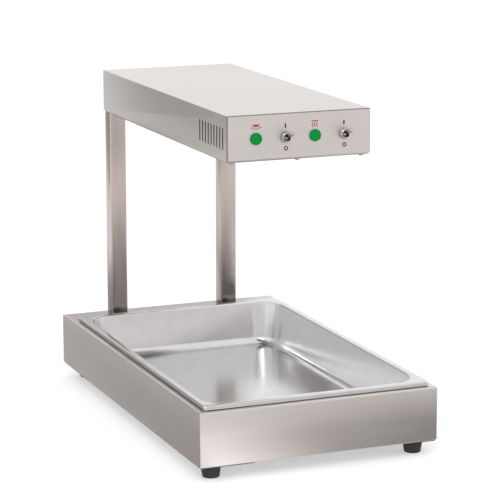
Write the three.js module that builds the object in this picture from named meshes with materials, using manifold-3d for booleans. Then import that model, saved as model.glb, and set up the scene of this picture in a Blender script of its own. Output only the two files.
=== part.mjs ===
// Heat lamp gantry for one full-size food pan: a heated base on four feet, a lift-out pan,
// two square posts and a cantilevered head with two quartz lamps, a reflector and a wire guard.
// Millimetres, +Z up, the controls face -Y, the floor is z = 0.
import * as THREE from "three";
import { mergeVertices } from "three/addons/utils/BufferGeometryUtils.js";
import Module from "manifold-3d";

const wasm = await Module();
wasm.setup();

// Overall sizes
const standHeight = 20; // floor to the underside of the base housing
const servingHeight = 311.5; // top of the base to the lower edge of the head
const headWidth = 206;
const headDepth = 505; // from the front of the fascia to the back wall
const headHeight = 61;
const headSetback = 4.5; // the head's back wall stands this far inside the base's
const seatGap = 0.3; // between pieces that seat on each other
const overrun = 5; // how far a cutting tool runs past what it cuts

// Facets round a full turn
const roundFacets = 16;
const leverFacets = 12;
const smallFacets = 8;
const wireFacets = 6;

// Base housing, which goes round the pan
const baseSideMargin = 9;
const frontLedge = 7;
const rearShelf = 48;
const baseSheet = 1.2;
const baseBend = 2.5;
const returnWidth = 18;
const bottomSheet = 1.2;
const bottomMargin = 2;
const reliefDepth = 8;
const reliefLeftInset = 77.5; // between these two the bottom plate's front edge is drawn back
const reliefRightInset = 43.5;
const bottomSlotLength = 70;
const bottomSlotWidth = 6;
const bottomSlotPitch = 30;
const bottomSlotsPerRow = 5;
const bottomRowShare = 0.2; // of the width, from the middle out to a row of slots

// Pan
const panWidth = 325;
const panLength = 530;
const panDepth = 65;
const panSheet = 0.8;
const rimWidth = 10;
const rimDrop = 6.4;
const rimRoll = 1.8;
const rimCorner = 4;
const mouthRoll = 2.6;
const mouthCorner = 40;
const panDraft = 8.5;
const panFloorRadius = 12;
const panFloorMargin = 3;

// Well and its heating
const wellClearance = 2.2;
const linerSheet = 1;
const linerFlange = 6;
const linerBend = 2;
const linerFloorRadius = 5;
const linerFloorGap = 1.5; // pan floor to liner floor
const spreaderThickness = 1.5;
const spreaderMargin = 12;
const matThickness = 1.6;
const matMargin = 8;
const boardMargin = 4;
const boardThickness = 9.7;
const plateCorner = 10;
const thermostatRadius = 8;
const thermostatHeight = 9;
const thermostatFlange = 11;
const thermostatFlangeHeight = 1.2;
const thermostatX = 40;
const thermostatLift = 27.3; // above the liner's floor
const tabWidth = 6.3;
const tabThickness = 0.8;
const tabLength = 7;
const tabSpread = 8;
const terminalWidth = 66;
const terminalDepth = 17;
const terminalHeight = 22;
const terminalX = -12;
const terminalLift = 23; // above the base's underside
const terminalPitch = 12;
const terminalWays = 5;
const terminalWell = 4;
const terminalWellDepth = 7;

// Cable gland, with no cord in it
const glandLift = 33; // above the base's underside
const glandBore = 4.2;
const glandNeck = 8;
const glandFlange = 13;
const glandFlangeHeight = 3;
const glandNose = 10;
const glandNoseRadius = 7.6;
const glandTipRadius = 6.4;
const glandNut = 11.5;
const glandNutHeight = 5;

// Feet and their screws
const footTopRadius = 14;
const footSoleRadius = 11.6;
const footEdge = 1.6;
const footInset = 24.5;
const rearFootStep = 6.5; // the rear feet stand this much further in
const footRecessMargin = 1.9; // round the screw's head
const footRecessDepth = 6;
const screwRadius = 2.5;
const screwHead = 4.6;
const screwHeadHeight = 2.6;
const footScrewReach = 4; // above the return flange
const holeClearance = 0.35;

// Posts
const postSize = 25;
const postWall = 1.5;
const postCorner = 2.6;
const postInsert = 44; // how far a post runs up inside the head
const mountPlateWing = 9.5; // on each side of the post
const mountPlateMargin = 9.25; // to the base's top and underside
const baseScrewPitch = 32;
const headScrewZ = 24;
const headScrewPitch = 22;
const postScrewReach = 4;

// Head housing
const headSheet = 1;
const headBend = 1.8;
const headReturn = 12;
const fasciaThickness = 1;
const fasciaMargin = 1.4;
const fasciaCorner = 1.5;
const ventCount = 9;
const ventFirst = 15.4; // behind the front face
const ventPitch = 10.45;
const ventWidth = 3.5;
const ventHeight = 29;
const ventDrop = 1.1; // below the middle of the head
const ventCorner = 1.4;
const traySheet = 1;
const trayMargin = 1.5;
const trayScrewRadius = 2;
const trayScrewHead = 4;
const trayScrewHeadHeight = 2.3;
const trayScrewReach = 5;
const trayScrewSide = 10; // from the head's side
const trayScrewInset = 7; // from its front or back
const rearScrewGap = 21.7; // beside a post

// Lamps, reflector and guard
const controlBay = 132; // from the front of the fascia to the reflector
const reflectorPostGap = 6.7;
const reflectorSideGap = 6; // to the head's turned-in edge
const reflectorFlange = 8;
const reflectorSheet = 0.8;
const reflectorFocusShare = 2 / 7; // of half a trough's width
const reflectorSteps = 12;
const lampSpacingShare = 5 / 11; // of the reflector's width
const lampRadius = 6;
const lampClearance = 0.4;
const endSheet = 1.2;
const endMargin = 2;
const capLength = 20;
const capWidth = 19;
const capCorner = 3;
const capBoreDepth = 12;
const guardRail = 2;
const guardWire = 1.5;
const guardWeld = 0.8; // how far crossing wires sink into each other
const guardSideMargin = 7; // from the reflector's troughs to a rail
const guardOverhang = 4;
const guardBend = 2.4;
const guardHook = 9;
const guardEndGap = 10; // from the reflector's end to the first cross wire
const guardSpans = 10;
const trayOpeningMargin = 2;
const baffleGap = 6.7; // in front of the ceramic caps
const baffleSheet = 1;
const baffleFoot = 9;
const baffleHole = 9;
const baffleTopGap = 12;

// Controls
const controlFirst = -62.2;
const controlPitch = 42.2;
const controlDrop = 1.5; // below the middle of the head
const bushWall = 1.4;
const bushProud = 6.5;
const switchWidth = 14;
const switchHeight = 30;
const switchDepth = 18;
const switchBoreDepth = 9; // behind the panel
const nutWall = 1; // across its flats, outside the bush
const nutHeight = 2.6;
const leverTilt = 20; // degrees up at rest, and as far down at the other end
const leverPivot = 1; // in front of the fascia
const leverBall = 4.2;
const leverClearance = 0.4;
const leverNeck = 1.9;
const leverTip = 3.1;
const leverLength = 23.5;
const leverTail = 7.5;
const leverTailRadius = 1.3;
const lensOverhang = 1.7; // outside its holder
const lensProud = 2.6;
const lensCrown = 0.9;
const lensClearance = 0.4;
const lensSpigotLength = 8;
const holderRadius = 6.4;
const holderWall = 1.4;
const holderDepth = 24;
const holderLip = 1; // outside the holder
const holderLipHeight = 2;

// Levels and places that follow from the sizes above
const stackHeight =
  boardThickness + matThickness + spreaderThickness + linerSheet + linerFloorGap + 3 * seatGap;
const baseWidth = panWidth + 2 * baseSideMargin;
const baseDepth = frontLedge + panLength + rearShelf;
const baseHeight = stackHeight + panDepth - rimDrop - seatGap;
const baseMiddle = standHeight + baseHeight / 2;
const baseTop = standHeight + baseHeight;
const headBottom = baseTop + servingHeight;
const rearProjection = seatGap + glandFlangeHeight + glandNose;
const panY = -baseDepth / 2 + frontLedge + panLength / 2;
const rimTop = baseTop + seatGap + rimDrop;
const panUnderside = rimTop - panDepth;
const wellWidth = panWidth - 2 * (rimWidth - panSheet - wellClearance);
const wellLength = panLength - 2 * (rimWidth - panSheet - wellClearance);
const wellCorner = mouthCorner - wellClearance;
const linerTop = baseTop - baseSheet - seatGap;
const linerFloor = panUnderside - linerFloorGap;
const headBack = baseDepth / 2 - headSetback;
const fasciaFront = headBack - headDepth;
const coverFront = fasciaFront + fasciaThickness + seatGap;
const coverDepth = headBack - coverFront;
const coverY = (headBack + coverFront) / 2;
const postX = headWidth / 2 - headSheet - seatGap - postSize / 2;
const postY = headBack - headSheet - seatGap - postSize / 2;
const postBottom = standHeight + baseSheet + seatGap;
const postTop = headBottom + postInsert;
const mountPlateWidth = postSize + 2 * mountPlateWing;
const mountPlateHeight = baseHeight - 2 * mountPlateMargin;
const mountPlateThickness = baseDepth / 2 - baseSheet - (postY + postSize / 2) - 2 * seatGap;
const trayTop = headBottom - seatGap;
const trayUnderside = trayTop - traySheet;
const reflectorRear = headSheet + seatGap + postSize + reflectorPostGap; // to the head's back wall
const reflectorLength = headDepth - reflectorRear - controlBay;
const reflectorWidth = headWidth - 2 * (headReturn + reflectorSideGap + reflectorFlange);
const reflectorY = headBack - reflectorRear - reflectorLength / 2;
const lampSpacing = lampSpacingShare * reflectorWidth;
const troughReach = (reflectorWidth - lampSpacing) / 2;
const reflectorFocus = reflectorFocusShare * troughReach;
const reflectorTop = headBottom + reflectorSheet + troughReach ** 2 / (4 * reflectorFocus);
const lampZ = reflectorTop - reflectorFocus;
const capFace = reflectorLength / 2 + endSheet + 2 * seatGap; // from the reflector's middle
const guardSide = reflectorWidth / 2 + guardSideMargin;
const guardPitch = (reflectorLength - 2 * guardEndGap) / guardSpans;
const baffleY = reflectorY - capFace - capLength - baffleGap - baffleSheet / 2;
const glandX = (postX + mountPlateWidth / 2 + baseWidth / 2 - baseSheet) / 2; // midway to the side
const glandZ = standHeight + glandLift;
const footX = baseWidth / 2 - footInset;
const footY = baseDepth / 2 - footInset;
const footTop = standHeight - 2 * seatGap - bottomSheet;
const footRecess = screwHead + footRecessMargin;
const controlHeight = headBottom + headHeight / 2 - controlDrop;
const bushBore = leverBall + leverClearance;
const bushRadius = bushBore + bushWall;
const nutAcross = 2 * (bushRadius + nutWall);
const holderBore = holderRadius - holderWall;
const lensSpigot = holderBore - lensClearance;
const lensRadius = holderRadius + lensOverhang;
const sides = [-1, 1];
const ends = [-1, 1];
const sideNames = { [-1]: "left", [1]: "right" };
const endNames = { [-1]: "front", [1]: "rear" };

// Finishes: colour, roughness, metalness
const finishes = {
  brushed: [0xb8b4ae, 0.38, 1],
  polished: [0xd2cfcb, 0.16, 1],
  galvanised: [0x9fa3a5, 0.5, 1],
  fascia: [0xcdc5c1, 0.45, 0.6],
  rubber: [0x1c1d1c, 0.8, 0],
  chrome: [0xcfcfcf, 0.1, 1],
  zinc: [0xbfc1c2, 0.3, 1],
  lens: [0x0f9a47, 0.25, 0],
  blackPlastic: [0x1a1a1c, 0.5, 0],
  greyPlastic: [0xc9c7bd, 0.5, 0],
  ceramic: [0xe9e3d5, 0.6, 0],
  quartz: [0xe6d3c4, 0.1, 0],
  aluminium: [0xdadcde, 0.2, 1],
  silicone: [0xb24a2e, 0.7, 0],
  board: [0xd6cfbf, 0.9, 0],
};

// Solids from three.js geometries, joined and cut, and back again

function solid(geometry) {
  const bare = geometry.clone();
  bare.deleteAttribute("normal");
  bare.deleteAttribute("uv");
  const merged = mergeVertices(bare);
  const faces = [];
  const index = merged.index.array;
  for (let i = 0; i < index.length; i += 3) {
    const [a, b, c] = [index[i], index[i + 1], index[i + 2]];
    if (a !== b && b !== c && c !== a) faces.push(a, b, c);
  }
  return new wasm.Manifold(
    new wasm.Mesh({
      numProp: 3,
      vertProperties: merged.attributes.position.array,
      triVerts: new Uint32Array(faces),
    }),
  );
}

function join(...geometries) {
  return geometries.map(asSolid).reduce((whole, next) => whole.add(next));
}

function cut(body, ...tools) {
  return tools.map(asSolid).reduce((rest, tool) => rest.subtract(tool), asSolid(body));
}

function asSolid(item) {
  return item.isBufferGeometry ? solid(item) : item;
}

function geometryOf(item) {
  if (item.isBufferGeometry) return item;
  const mesh = item.getMesh();
  const geometry = new THREE.BufferGeometry();
  geometry.setAttribute("position", new THREE.BufferAttribute(new Float32Array(mesh.vertProperties), 3));
  geometry.setIndex(new THREE.BufferAttribute(new Uint32Array(mesh.triVerts), 1));
  geometry.computeVertexNormals();
  return geometry;
}

function piece(name, item, finish) {
  const [color, roughness, metalness] = finishes[finish];
  const mesh = new THREE.Mesh(
    geometryOf(item),
    new THREE.MeshStandardMaterial({ color, roughness, metalness }),
  );
  mesh.name = name;
  return mesh;
}

function placed(geometry, x, y, z) {
  return geometry.translate(x, y, z);
}

// Outlines

function polygon(points) {
  return new THREE.Shape(points.map(([x, y]) => new THREE.Vector2(x, y)));
}

function rectangle(width, height, radius = 0) {
  const [x, y] = [width / 2, height / 2];
  if (!radius) return polygon([[-x, -y], [x, -y], [x, y], [-x, y]]);
  const shape = new THREE.Shape();
  const [cx, cy] = [x - radius, y - radius];
  shape.absarc(cx, cy, radius, 0, Math.PI / 2);
  shape.absarc(-cx, cy, radius, Math.PI / 2, Math.PI);
  shape.absarc(-cx, -cy, radius, Math.PI, Math.PI * 1.5);
  shape.absarc(cx, -cy, radius, Math.PI * 1.5, Math.PI * 2);
  shape.closePath();
  return shape;
}

// A rectangle standing on y = bottom with its two upper corners rounded
function arch(width, bottom, top, radius) {
  const x = width / 2;
  const shape = new THREE.Shape();
  shape.moveTo(-x, bottom);
  shape.lineTo(x, bottom);
  shape.absarc(x - radius, top - radius, radius, 0, Math.PI / 2);
  shape.absarc(radius - x, top - radius, radius, Math.PI / 2, Math.PI);
  shape.closePath();
  return shape;
}

// Extrusions, centred on the origin along their length

const axisBases = {
  x: [new THREE.Vector3(0, 1, 0), new THREE.Vector3(0, 0, 1), new THREE.Vector3(1, 0, 0)],
  y: [new THREE.Vector3(1, 0, 0), new THREE.Vector3(0, 0, 1), new THREE.Vector3(0, -1, 0)],
  z: [new THREE.Vector3(1, 0, 0), new THREE.Vector3(0, 1, 0), new THREE.Vector3(0, 0, 1)],
};

function extruded(shape, length, axis = "z", arcSteps = 4) {
  const curveSegments = arcSteps / 2; // an arc is drawn with twice this count
  const geometry = new THREE.ExtrudeGeometry(shape, { depth: length, bevelEnabled: false, curveSegments });
  geometry.translate(0, 0, -length / 2);
  return geometry.applyMatrix4(new THREE.Matrix4().makeBasis(...axisBases[axis]));
}

// A plate lying flat, with its underside at the given level
function plate(shape, thickness, level, arcSteps = 4) {
  return extruded(shape, thickness, "z", arcSteps).translate(0, 0, level + thickness / 2);
}

function block(width, depth, height) {
  return new THREE.BoxGeometry(width, depth, height);
}

function rod(radius, length, axis = "z", arcSteps = roundFacets) {
  const circle = new THREE.Shape();
  circle.absarc(0, 0, radius, 0, Math.PI * 2);
  return extruded(circle, length, axis, arcSteps);
}

// A turned piece: the profile is [radius, height] pairs from the lowest point up, and the axis is z.
// A profile that starts and ends off the axis closes on itself, and leaves a bore.
function turned(profile, segments = roundFacets) {
  const points = profile.map(([radius, height]) => new THREE.Vector2(radius, height));
  if (points[0].x > 0) points.push(points[0].clone());
  return new THREE.LatheGeometry(points, segments).rotateX(Math.PI / 2);
}

// Turns a piece made along +z to point along -y, out of a front face, or along +y, out of a back one
function facingFront(geometry) {
  return geometry.rotateX(Math.PI / 2);
}

function facingBack(geometry) {
  return geometry.rotateX(-Math.PI / 2);
}

// A path through corners [x, y, radius], each rounded by its own radius
function roundedPath(corners, steps = 3) {
  const points = [];
  corners.forEach(([x, y, radius], i) => {
    const corner = new THREE.Vector2(x, y);
    if (!radius) {
      points.push(corner);
      return;
    }
    const before = new THREE.Vector2(corners[i - 1][0], corners[i - 1][1]).sub(corner).normalize();
    const after = new THREE.Vector2(corners[i + 1][0], corners[i + 1][1]).sub(corner).normalize();
    const half = Math.acos(THREE.MathUtils.clamp(before.dot(after), -1, 1)) / 2;
    const centre = before.clone().add(after).normalize().multiplyScalar(radius / Math.sin(half)).add(corner);
    const reach = radius / Math.tan(half);
    const start = before.clone().multiplyScalar(reach).add(corner).sub(centre);
    const end = after.clone().multiplyScalar(reach).add(corner).sub(centre);
    const sweep = Math.atan2(start.cross(end), start.dot(end));
    for (let k = 0; k <= steps; k += 1) {
      points.push(start.clone().rotateAround(new THREE.Vector2(), (sweep * k) / steps).add(centre));
    }
  });
  return points;
}

// The same path set off to its left, with mitred corners
function parallel(path, distance) {
  return path.map((point, i) => {
    const from = path[Math.max(i - 1, 0)];
    const to = path[Math.min(i + 1, path.length - 1)];
    const arriving = i ? point.clone().sub(from).normalize() : to.clone().sub(point).normalize();
    const leaving = i < path.length - 1 ? to.clone().sub(point).normalize() : arriving;
    const along = arriving.clone().add(leaving).normalize();
    const mitre = distance / along.dot(arriving);
    return new THREE.Vector2(point.x - along.y * mitre, point.y + along.x * mitre);
  });
}

// The closed section of a sheet whose one face follows the path
function sheetSection(path, thickness) {
  return [...path, ...parallel(path, thickness).reverse()];
}

// A ring round a rectangle with rounded corners, anticlockwise from above
function rectangleRing(halfWidth, halfDepth, radius, height, steps) {
  const ring = [];
  const signs = [[1, 1], [-1, 1], [-1, -1], [1, -1]];
  signs.forEach(([sx, sy], corner) => {
    for (let k = 0; k <= steps; k += 1) {
      const angle = (corner + k / steps) * (Math.PI / 2);
      const x = sx * (halfWidth - radius) + radius * Math.cos(angle);
      const y = sy * (halfDepth - radius) + radius * Math.sin(angle);
      ring.push(new THREE.Vector3(x, y, height));
    }
  });
  return ring;
}

// A skin over rings of equally many points, closed by a flat cap at the first and the last
function lofted(rings) {
  const count = rings[0].length;
  const positions = [];
  const faces = [];
  rings.flat().forEach((point) => positions.push(...point.toArray()));
  for (let r = 0; r < rings.length - 1; r += 1) {
    for (let i = 0; i < count; i += 1) {
      const next = (i + 1) % count;
      const [a, b] = [r * count, (r + 1) * count];
      faces.push(a + i, b + i, b + next, a + i, b + next, a + next);
    }
  }
  const last = (rings.length - 1) * count;
  for (let i = 1; i < count - 1; i += 1) {
    faces.push(0, i, i + 1);
    faces.push(last, last + i + 1, last + i);
  }
  const geometry = new THREE.BufferGeometry();
  geometry.setAttribute("position", new THREE.Float32BufferAttribute(positions, 3));
  geometry.setIndex(faces);
  return geometry;
}

// A pressed tray: a section of [inset, height] points swept round a rectangle, from the inside of
// the floor over the rim to the underside of the floor. radiusAt gives the corner at an inset.
function pressedTray(section, halfWidth, halfDepth, radiusAt, steps = 5) {
  return lofted(
    section.map((point) =>
      rectangleRing(halfWidth - point.x, halfDepth - point.x, radiusAt(point.x), point.y, steps),
    ),
  );
}

// A round wire bent along a path that lies in the plane x = 0, with mitred steps at its bends
function bentWire(path, radius, facets) {
  const rings = [];
  const beside = parallel(path, radius);
  path.forEach((point, i) => {
    const toSide = beside[i].clone().sub(point);
    const ring = [];
    for (let k = 0; k < facets; k += 1) {
      const angle = ((k + 1 / 2) / facets) * Math.PI * 2;
      const spot = toSide.clone().multiplyScalar(Math.sin(angle)).add(point);
      ring.push(new THREE.Vector3(radius * Math.cos(angle), spot.x, spot.y));
    }
    rings.push(ring);
  });
  return lofted(rings);
}

// A box of folded sheet with rounded upper edges, before it is hollowed
function foldedBox(width, depth, bottom, top, radius) {
  const across = solid(extruded(arch(width, bottom, top, radius), depth, "y"));
  const along = solid(extruded(arch(depth, bottom, top, radius), width, "x"));
  return across.intersect(along);
}

// A folded box of sheet, open below, with flanges turned in along its lower edges
function foldedShell(width, depth, bottom, top, radius, sheet, flange) {
  const outside = foldedBox(width, depth, bottom, top, radius);
  const [clearWidth, clearDepth] = [width - 2 * sheet, depth - 2 * sheet];
  const inside = foldedBox(clearWidth, clearDepth, bottom - overrun, top - sheet, radius - sheet);
  const turnedIn = rectangle(width - sheet, depth - sheet);
  turnedIn.holes.push(rectangle(width - 2 * flange, depth - 2 * flange));
  return join(cut(outside, inside), plate(turnedIn, sheet, bottom));
}

// Screws: a domed head below z = 0 and a shank above it

function screw(radius, headRadius, headHeight, reach) {
  return turned(
    [
      [0, -headHeight],
      [headRadius / 2, -headHeight],
      [headRadius, -headHeight / 2],
      [headRadius, 0],
      [radius, 0],
      [radius, reach],
      [0, reach],
    ],
    smallFacets,
  );
}

// Places shared by screws and by the holes that they pass

const footPlaces = sides.flatMap((side) => [
  { name: "front_" + sideNames[side], x: side * footX, y: -footY },
  { name: "rear_" + sideNames[side], x: side * (footX - rearFootStep), y: footY },
]);

const postPlaces = sides.map((side) => ({ name: sideNames[side], x: side * postX }));

const rearScrewX = postX - postSize / 2 - rearScrewGap;
const trayScrewPlaces = [
  { name: "front_left", x: trayScrewSide - headWidth / 2, y: coverFront + trayScrewInset },
  { name: "front_centre", x: 0, y: coverFront + trayScrewInset },
  { name: "front_right", x: headWidth / 2 - trayScrewSide, y: coverFront + trayScrewInset },
  { name: "rear_left", x: -rearScrewX, y: headBack - trayScrewInset },
  { name: "rear_right", x: rearScrewX, y: headBack - trayScrewInset },
];

const controls = [
  { name: "lamp_left", kind: "lamp", x: controlFirst },
  { name: "switch_left", kind: "switch", x: controlFirst + controlPitch },
  { name: "lamp_right", kind: "lamp", x: controlFirst + 2 * controlPitch },
  { name: "switch_right", kind: "switch", x: controlFirst + 3 * controlPitch },
];

function postHole(x, bottom, top, corner = postCorner) {
  const size = postSize + 2 * seatGap;
  return placed(extruded(rectangle(size, size, corner), top - bottom), x, postY, (bottom + top) / 2);
}

function uprightHole(radius, x, y, level) {
  return placed(rod(radius + holeClearance, 2 * overrun, "z", smallFacets), x, y, level);
}

function rearHole(radius, x, y, z) {
  return placed(rod(radius + holeClearance, 2 * overrun, "y", smallFacets), x, y, z);
}

function basePostScrewPlaces(x) {
  return ends.map((end) => ({ x, z: baseMiddle + (end * baseScrewPitch) / 2 }));
}

function headPostScrewPlaces(x) {
  return ends.map((end) => ({ x, z: headBottom + headScrewZ + (end * headScrewPitch) / 2 }));
}

// Base

function baseHousing() {
  const shell = foldedShell(baseWidth, baseDepth, standHeight, baseTop, baseBend, baseSheet, returnWidth);
  const well = plate(rectangle(wellWidth, wellLength, wellCorner), 2 * overrun, baseTop - overrun, 6);
  const tools = [well.translate(0, panY, 0)];
  postPlaces.forEach(({ x }) => {
    tools.push(postHole(x, baseTop - overrun, baseTop + overrun));
    basePostScrewPlaces(x).forEach((p) => tools.push(rearHole(screwRadius, p.x, baseDepth / 2, p.z)));
  });
  footPlaces.forEach(({ x, y }) => tools.push(uprightHole(screwRadius, x, y, standHeight)));
  tools.push(placed(rod(glandNeck + holeClearance, 2 * overrun, "y"), glandX, baseDepth / 2, glandZ));
  return cut(shell, ...tools);
}

function bottomPlate() {
  const x = baseWidth / 2 - bottomMargin;
  const y = baseDepth / 2 - bottomMargin;
  const outline = polygon([
    [-x, -y],
    [reliefLeftInset - baseWidth / 2, -y],
    [reliefLeftInset - baseWidth / 2, reliefDepth - y],
    [baseWidth / 2 - reliefRightInset, reliefDepth - y],
    [baseWidth / 2 - reliefRightInset, -y],
    [x, -y],
    [x, y],
    [-x, y],
  ]);
  const tools = footPlaces.map((p) => uprightHole(screwRadius, p.x, p.y, footTop));
  sides.forEach((side) => {
    for (let i = 0; i < bottomSlotsPerRow; i += 1) {
      const slot = plate(
        rectangle(bottomSlotLength, bottomSlotWidth, bottomSlotWidth / 2), 2 * overrun, footTop - overrun, 2,
      );
      const along = (i - (bottomSlotsPerRow - 1) / 2) * bottomSlotPitch;
      tools.push(slot.translate(side * bottomRowShare * baseWidth, panY + along, 0));
    }
  });
  return cut(plate(outline, bottomSheet, footTop + seatGap), ...tools);
}

function wellLiner() {
  const halfWidth = wellWidth / 2 + linerFlange;
  const halfLength = wellLength / 2 + linerFlange;
  const path = roundedPath([
    [linerFlange + 2 * linerFloorRadius, linerFloor, 0],
    [linerFlange, linerFloor, linerFloorRadius],
    [linerFlange, linerTop, linerBend],
    [0, linerTop, 0],
  ]);
  const radiusAt = (inset) => Math.max(wellCorner + linerFlange - inset, linerFloorRadius);
  const tray = pressedTray(sheetSection(path, linerSheet), halfWidth, halfLength, radiusAt, 3);
  return tray.translate(0, panY, 0);
}

function underWell(margin, thickness, level) {
  const shape = rectangle(wellWidth - 2 * margin, wellLength - 2 * margin, plateCorner);
  return plate(shape, thickness, level).translate(0, panY, 0);
}

function tab(x, y, z) {
  return placed(block(tabThickness, tabLength + overrun, tabWidth), x, y, z);
}

function thermostat() {
  const body = turned([
    [0, 0],
    [thermostatFlange, 0],
    [thermostatFlange, thermostatFlangeHeight],
    [thermostatRadius, thermostatFlangeHeight],
    [thermostatRadius, thermostatHeight],
    [0, thermostatHeight],
  ]);
  const wall = panY + wellLength / 2 + linerSheet + seatGap;
  const tabY = thermostatHeight + (tabLength - overrun) / 2;
  return join(
    facingBack(body),
    tab(-tabSpread / 2, tabY, 0),
    tab(tabSpread / 2, tabY, 0),
  ).translate([thermostatX, wall, linerFloor + thermostatLift]);
}

function terminalBlock() {
  const y = baseDepth / 2 - baseSheet - seatGap - terminalDepth / 2;
  const middle = standHeight + terminalLift;
  const tools = [];
  for (let i = 0; i < terminalWays; i += 1) {
    const x = terminalX + (i - (terminalWays - 1) / 2) * terminalPitch;
    [-1, 1].forEach((row) => {
      const well = rod(terminalWell, 2 * terminalWellDepth, "y", smallFacets);
      tools.push(placed(well, x, y - terminalDepth / 2, middle + (row * terminalHeight) / 4));
    });
  }
  const body = placed(block(terminalWidth, terminalDepth, terminalHeight), terminalX, y, middle);
  return cut(body, ...tools);
}

function cableGland() {
  const nutFace = -(baseSheet + seatGap);
  const profile = [
    [glandBore, nutFace - glandNutHeight],
    [glandNut, nutFace - glandNutHeight],
    [glandNut, nutFace],
    [glandNeck, nutFace],
    [glandNeck, seatGap],
    [glandFlange, seatGap],
    [glandFlange, seatGap + glandFlangeHeight],
    [glandNoseRadius, seatGap + glandFlangeHeight],
    [glandTipRadius, rearProjection],
    [glandBore, rearProjection],
  ];
  return placed(facingBack(turned(profile)), glandX, baseDepth / 2, glandZ);
}

function foot() {
  const bore = screwRadius + holeClearance;
  return turned([
    [footRecess, 0],
    [footSoleRadius - footEdge, 0],
    [footSoleRadius, footEdge],
    [footTopRadius, footTop],
    [bore, footTop],
    [bore, footRecessDepth],
    [footRecess, footRecessDepth],
  ]);
}

function footScrew() {
  const reach = standHeight + baseSheet + footScrewReach - footRecessDepth;
  return screw(screwRadius, screwHead, screwHeadHeight, reach).translate(0, 0, footRecessDepth - seatGap);
}

// Posts

function post(x) {
  const shape = rectangle(postSize, postSize, postCorner);
  const inner = postSize - 2 * postWall;
  shape.holes.push(rectangle(inner, inner, postCorner - postWall));
  const tube = placed(extruded(shape, postTop - postBottom), x, postY, (postTop + postBottom) / 2);
  const back = postY + postSize / 2;
  const tools = [...basePostScrewPlaces(x), ...headPostScrewPlaces(x)];
  return cut(tube, ...tools.map((p) => rearHole(screwRadius, p.x, back, p.z)));
}

function mountPlate(x) {
  const y = baseDepth / 2 - baseSheet - seatGap - mountPlateThickness / 2;
  const body = placed(block(mountPlateWidth, mountPlateThickness, mountPlateHeight), x, y, baseMiddle);
  return cut(body, ...basePostScrewPlaces(x).map((p) => rearHole(screwRadius, p.x, y, p.z)));
}

// A screw put in from behind: its head stands off the wall by the seat gap
function rearScrew({ x, z }, wall) {
  const depth = wall - (postY + postSize / 2) + postWall + postScrewReach;
  const body = facingFront(screw(screwRadius, screwHead, screwHeadHeight, depth));
  return placed(body, x, wall + seatGap, z);
}

// Head

function headCover() {
  const top = headBottom + headHeight;
  const shell = foldedShell(headWidth, coverDepth, headBottom, top, headBend, headSheet, headReturn);
  const tools = postPlaces.map(({ x }) => postHole(x, headBottom - overrun, headBottom + overrun));
  for (let i = 0; i < ventCount; i += 1) {
    const y = fasciaFront + ventFirst + i * ventPitch;
    const slot = extruded(rectangle(ventWidth, ventHeight, ventCorner), headWidth + 2 * overrun, "x", 2);
    tools.push(placed(slot, 0, y, headBottom + headHeight / 2 - ventDrop));
  }
  controls.forEach(({ kind, x }) => {
    const radius = (kind === "lamp" ? holderRadius : bushRadius) + holeClearance;
    tools.push(placed(rod(radius, 2 * overrun, "y"), x, coverFront, controlHeight));
  });
  trayScrewPlaces.forEach((p) => tools.push(uprightHole(trayScrewRadius, p.x, p.y, headBottom)));
  postPlaces.forEach(({ x }) => {
    headPostScrewPlaces(x).forEach((p) => tools.push(rearHole(screwRadius, p.x, headBack, p.z)));
  });
  return cut(shell.translate([0, coverY, 0]), ...tools);
}

function frontFascia() {
  const shape = rectangle(headWidth - 2 * fasciaMargin, headHeight - 2 * fasciaMargin, fasciaCorner);
  const y = fasciaFront + fasciaThickness / 2;
  const body = placed(extruded(shape, fasciaThickness, "y"), 0, y, headBottom + headHeight / 2);
  const tools = controls.map(({ kind, x }) => {
    const radius = (kind === "lamp" ? holderRadius : bushRadius) + holeClearance;
    return placed(rod(radius, 2 * overrun, "y"), x, y, controlHeight);
  });
  return cut(body, ...tools);
}

function headTray() {
  const shape = rectangle(headWidth - 2 * trayMargin, coverDepth - 2 * trayMargin);
  const opening = rectangle(
    reflectorWidth + 2 * trayOpeningMargin, reflectorLength + 2 * trayOpeningMargin - 2 * endMargin,
  );
  const tools = [
    plate(opening, 2 * overrun, trayUnderside - overrun).translate(0, reflectorY, 0),
    ...postPlaces.map(({ x }) => postHole(x, trayUnderside - overrun, trayTop + overrun, 0)),
    ...trayScrewPlaces.map((p) => uprightHole(trayScrewRadius, p.x, p.y, trayTop)),
  ];
  sides.forEach((side) => {
    ends.forEach((end) => {
      const y = reflectorY + end * (reflectorLength / 2 + guardOverhang);
      tools.push(uprightHole(guardRail + holeClearance, side * guardSide, y, trayTop));
    });
  });
  return cut(plate(shape, traySheet, trayUnderside).translate(0, coverY, 0), ...tools);
}

// The reflector's upper face across the head: a flange, a trough over each lamp, and a flange
function troughPath(rise) {
  const half = reflectorWidth / 2;
  const points = [];
  for (let i = -reflectorSteps; i <= reflectorSteps; i += 1) {
    const x = (half * i) / reflectorSteps;
    const offset = Math.abs(x) - lampSpacing / 2;
    points.push(new THREE.Vector2(x, reflectorTop + rise - offset ** 2 / (4 * reflectorFocus)));
  }
  return points;
}

function reflector() {
  const flangeLevel = headBottom + reflectorSheet;
  const end = reflectorWidth / 2 + reflectorFlange;
  const path = [
    new THREE.Vector2(end, flangeLevel),
    ...troughPath(0).reverse(),
    new THREE.Vector2(-end, flangeLevel),
  ];
  const section = new THREE.Shape(sheetSection(path, reflectorSheet));
  return extruded(section, reflectorLength, "y").translate(0, reflectorY, 0);
}

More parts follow.
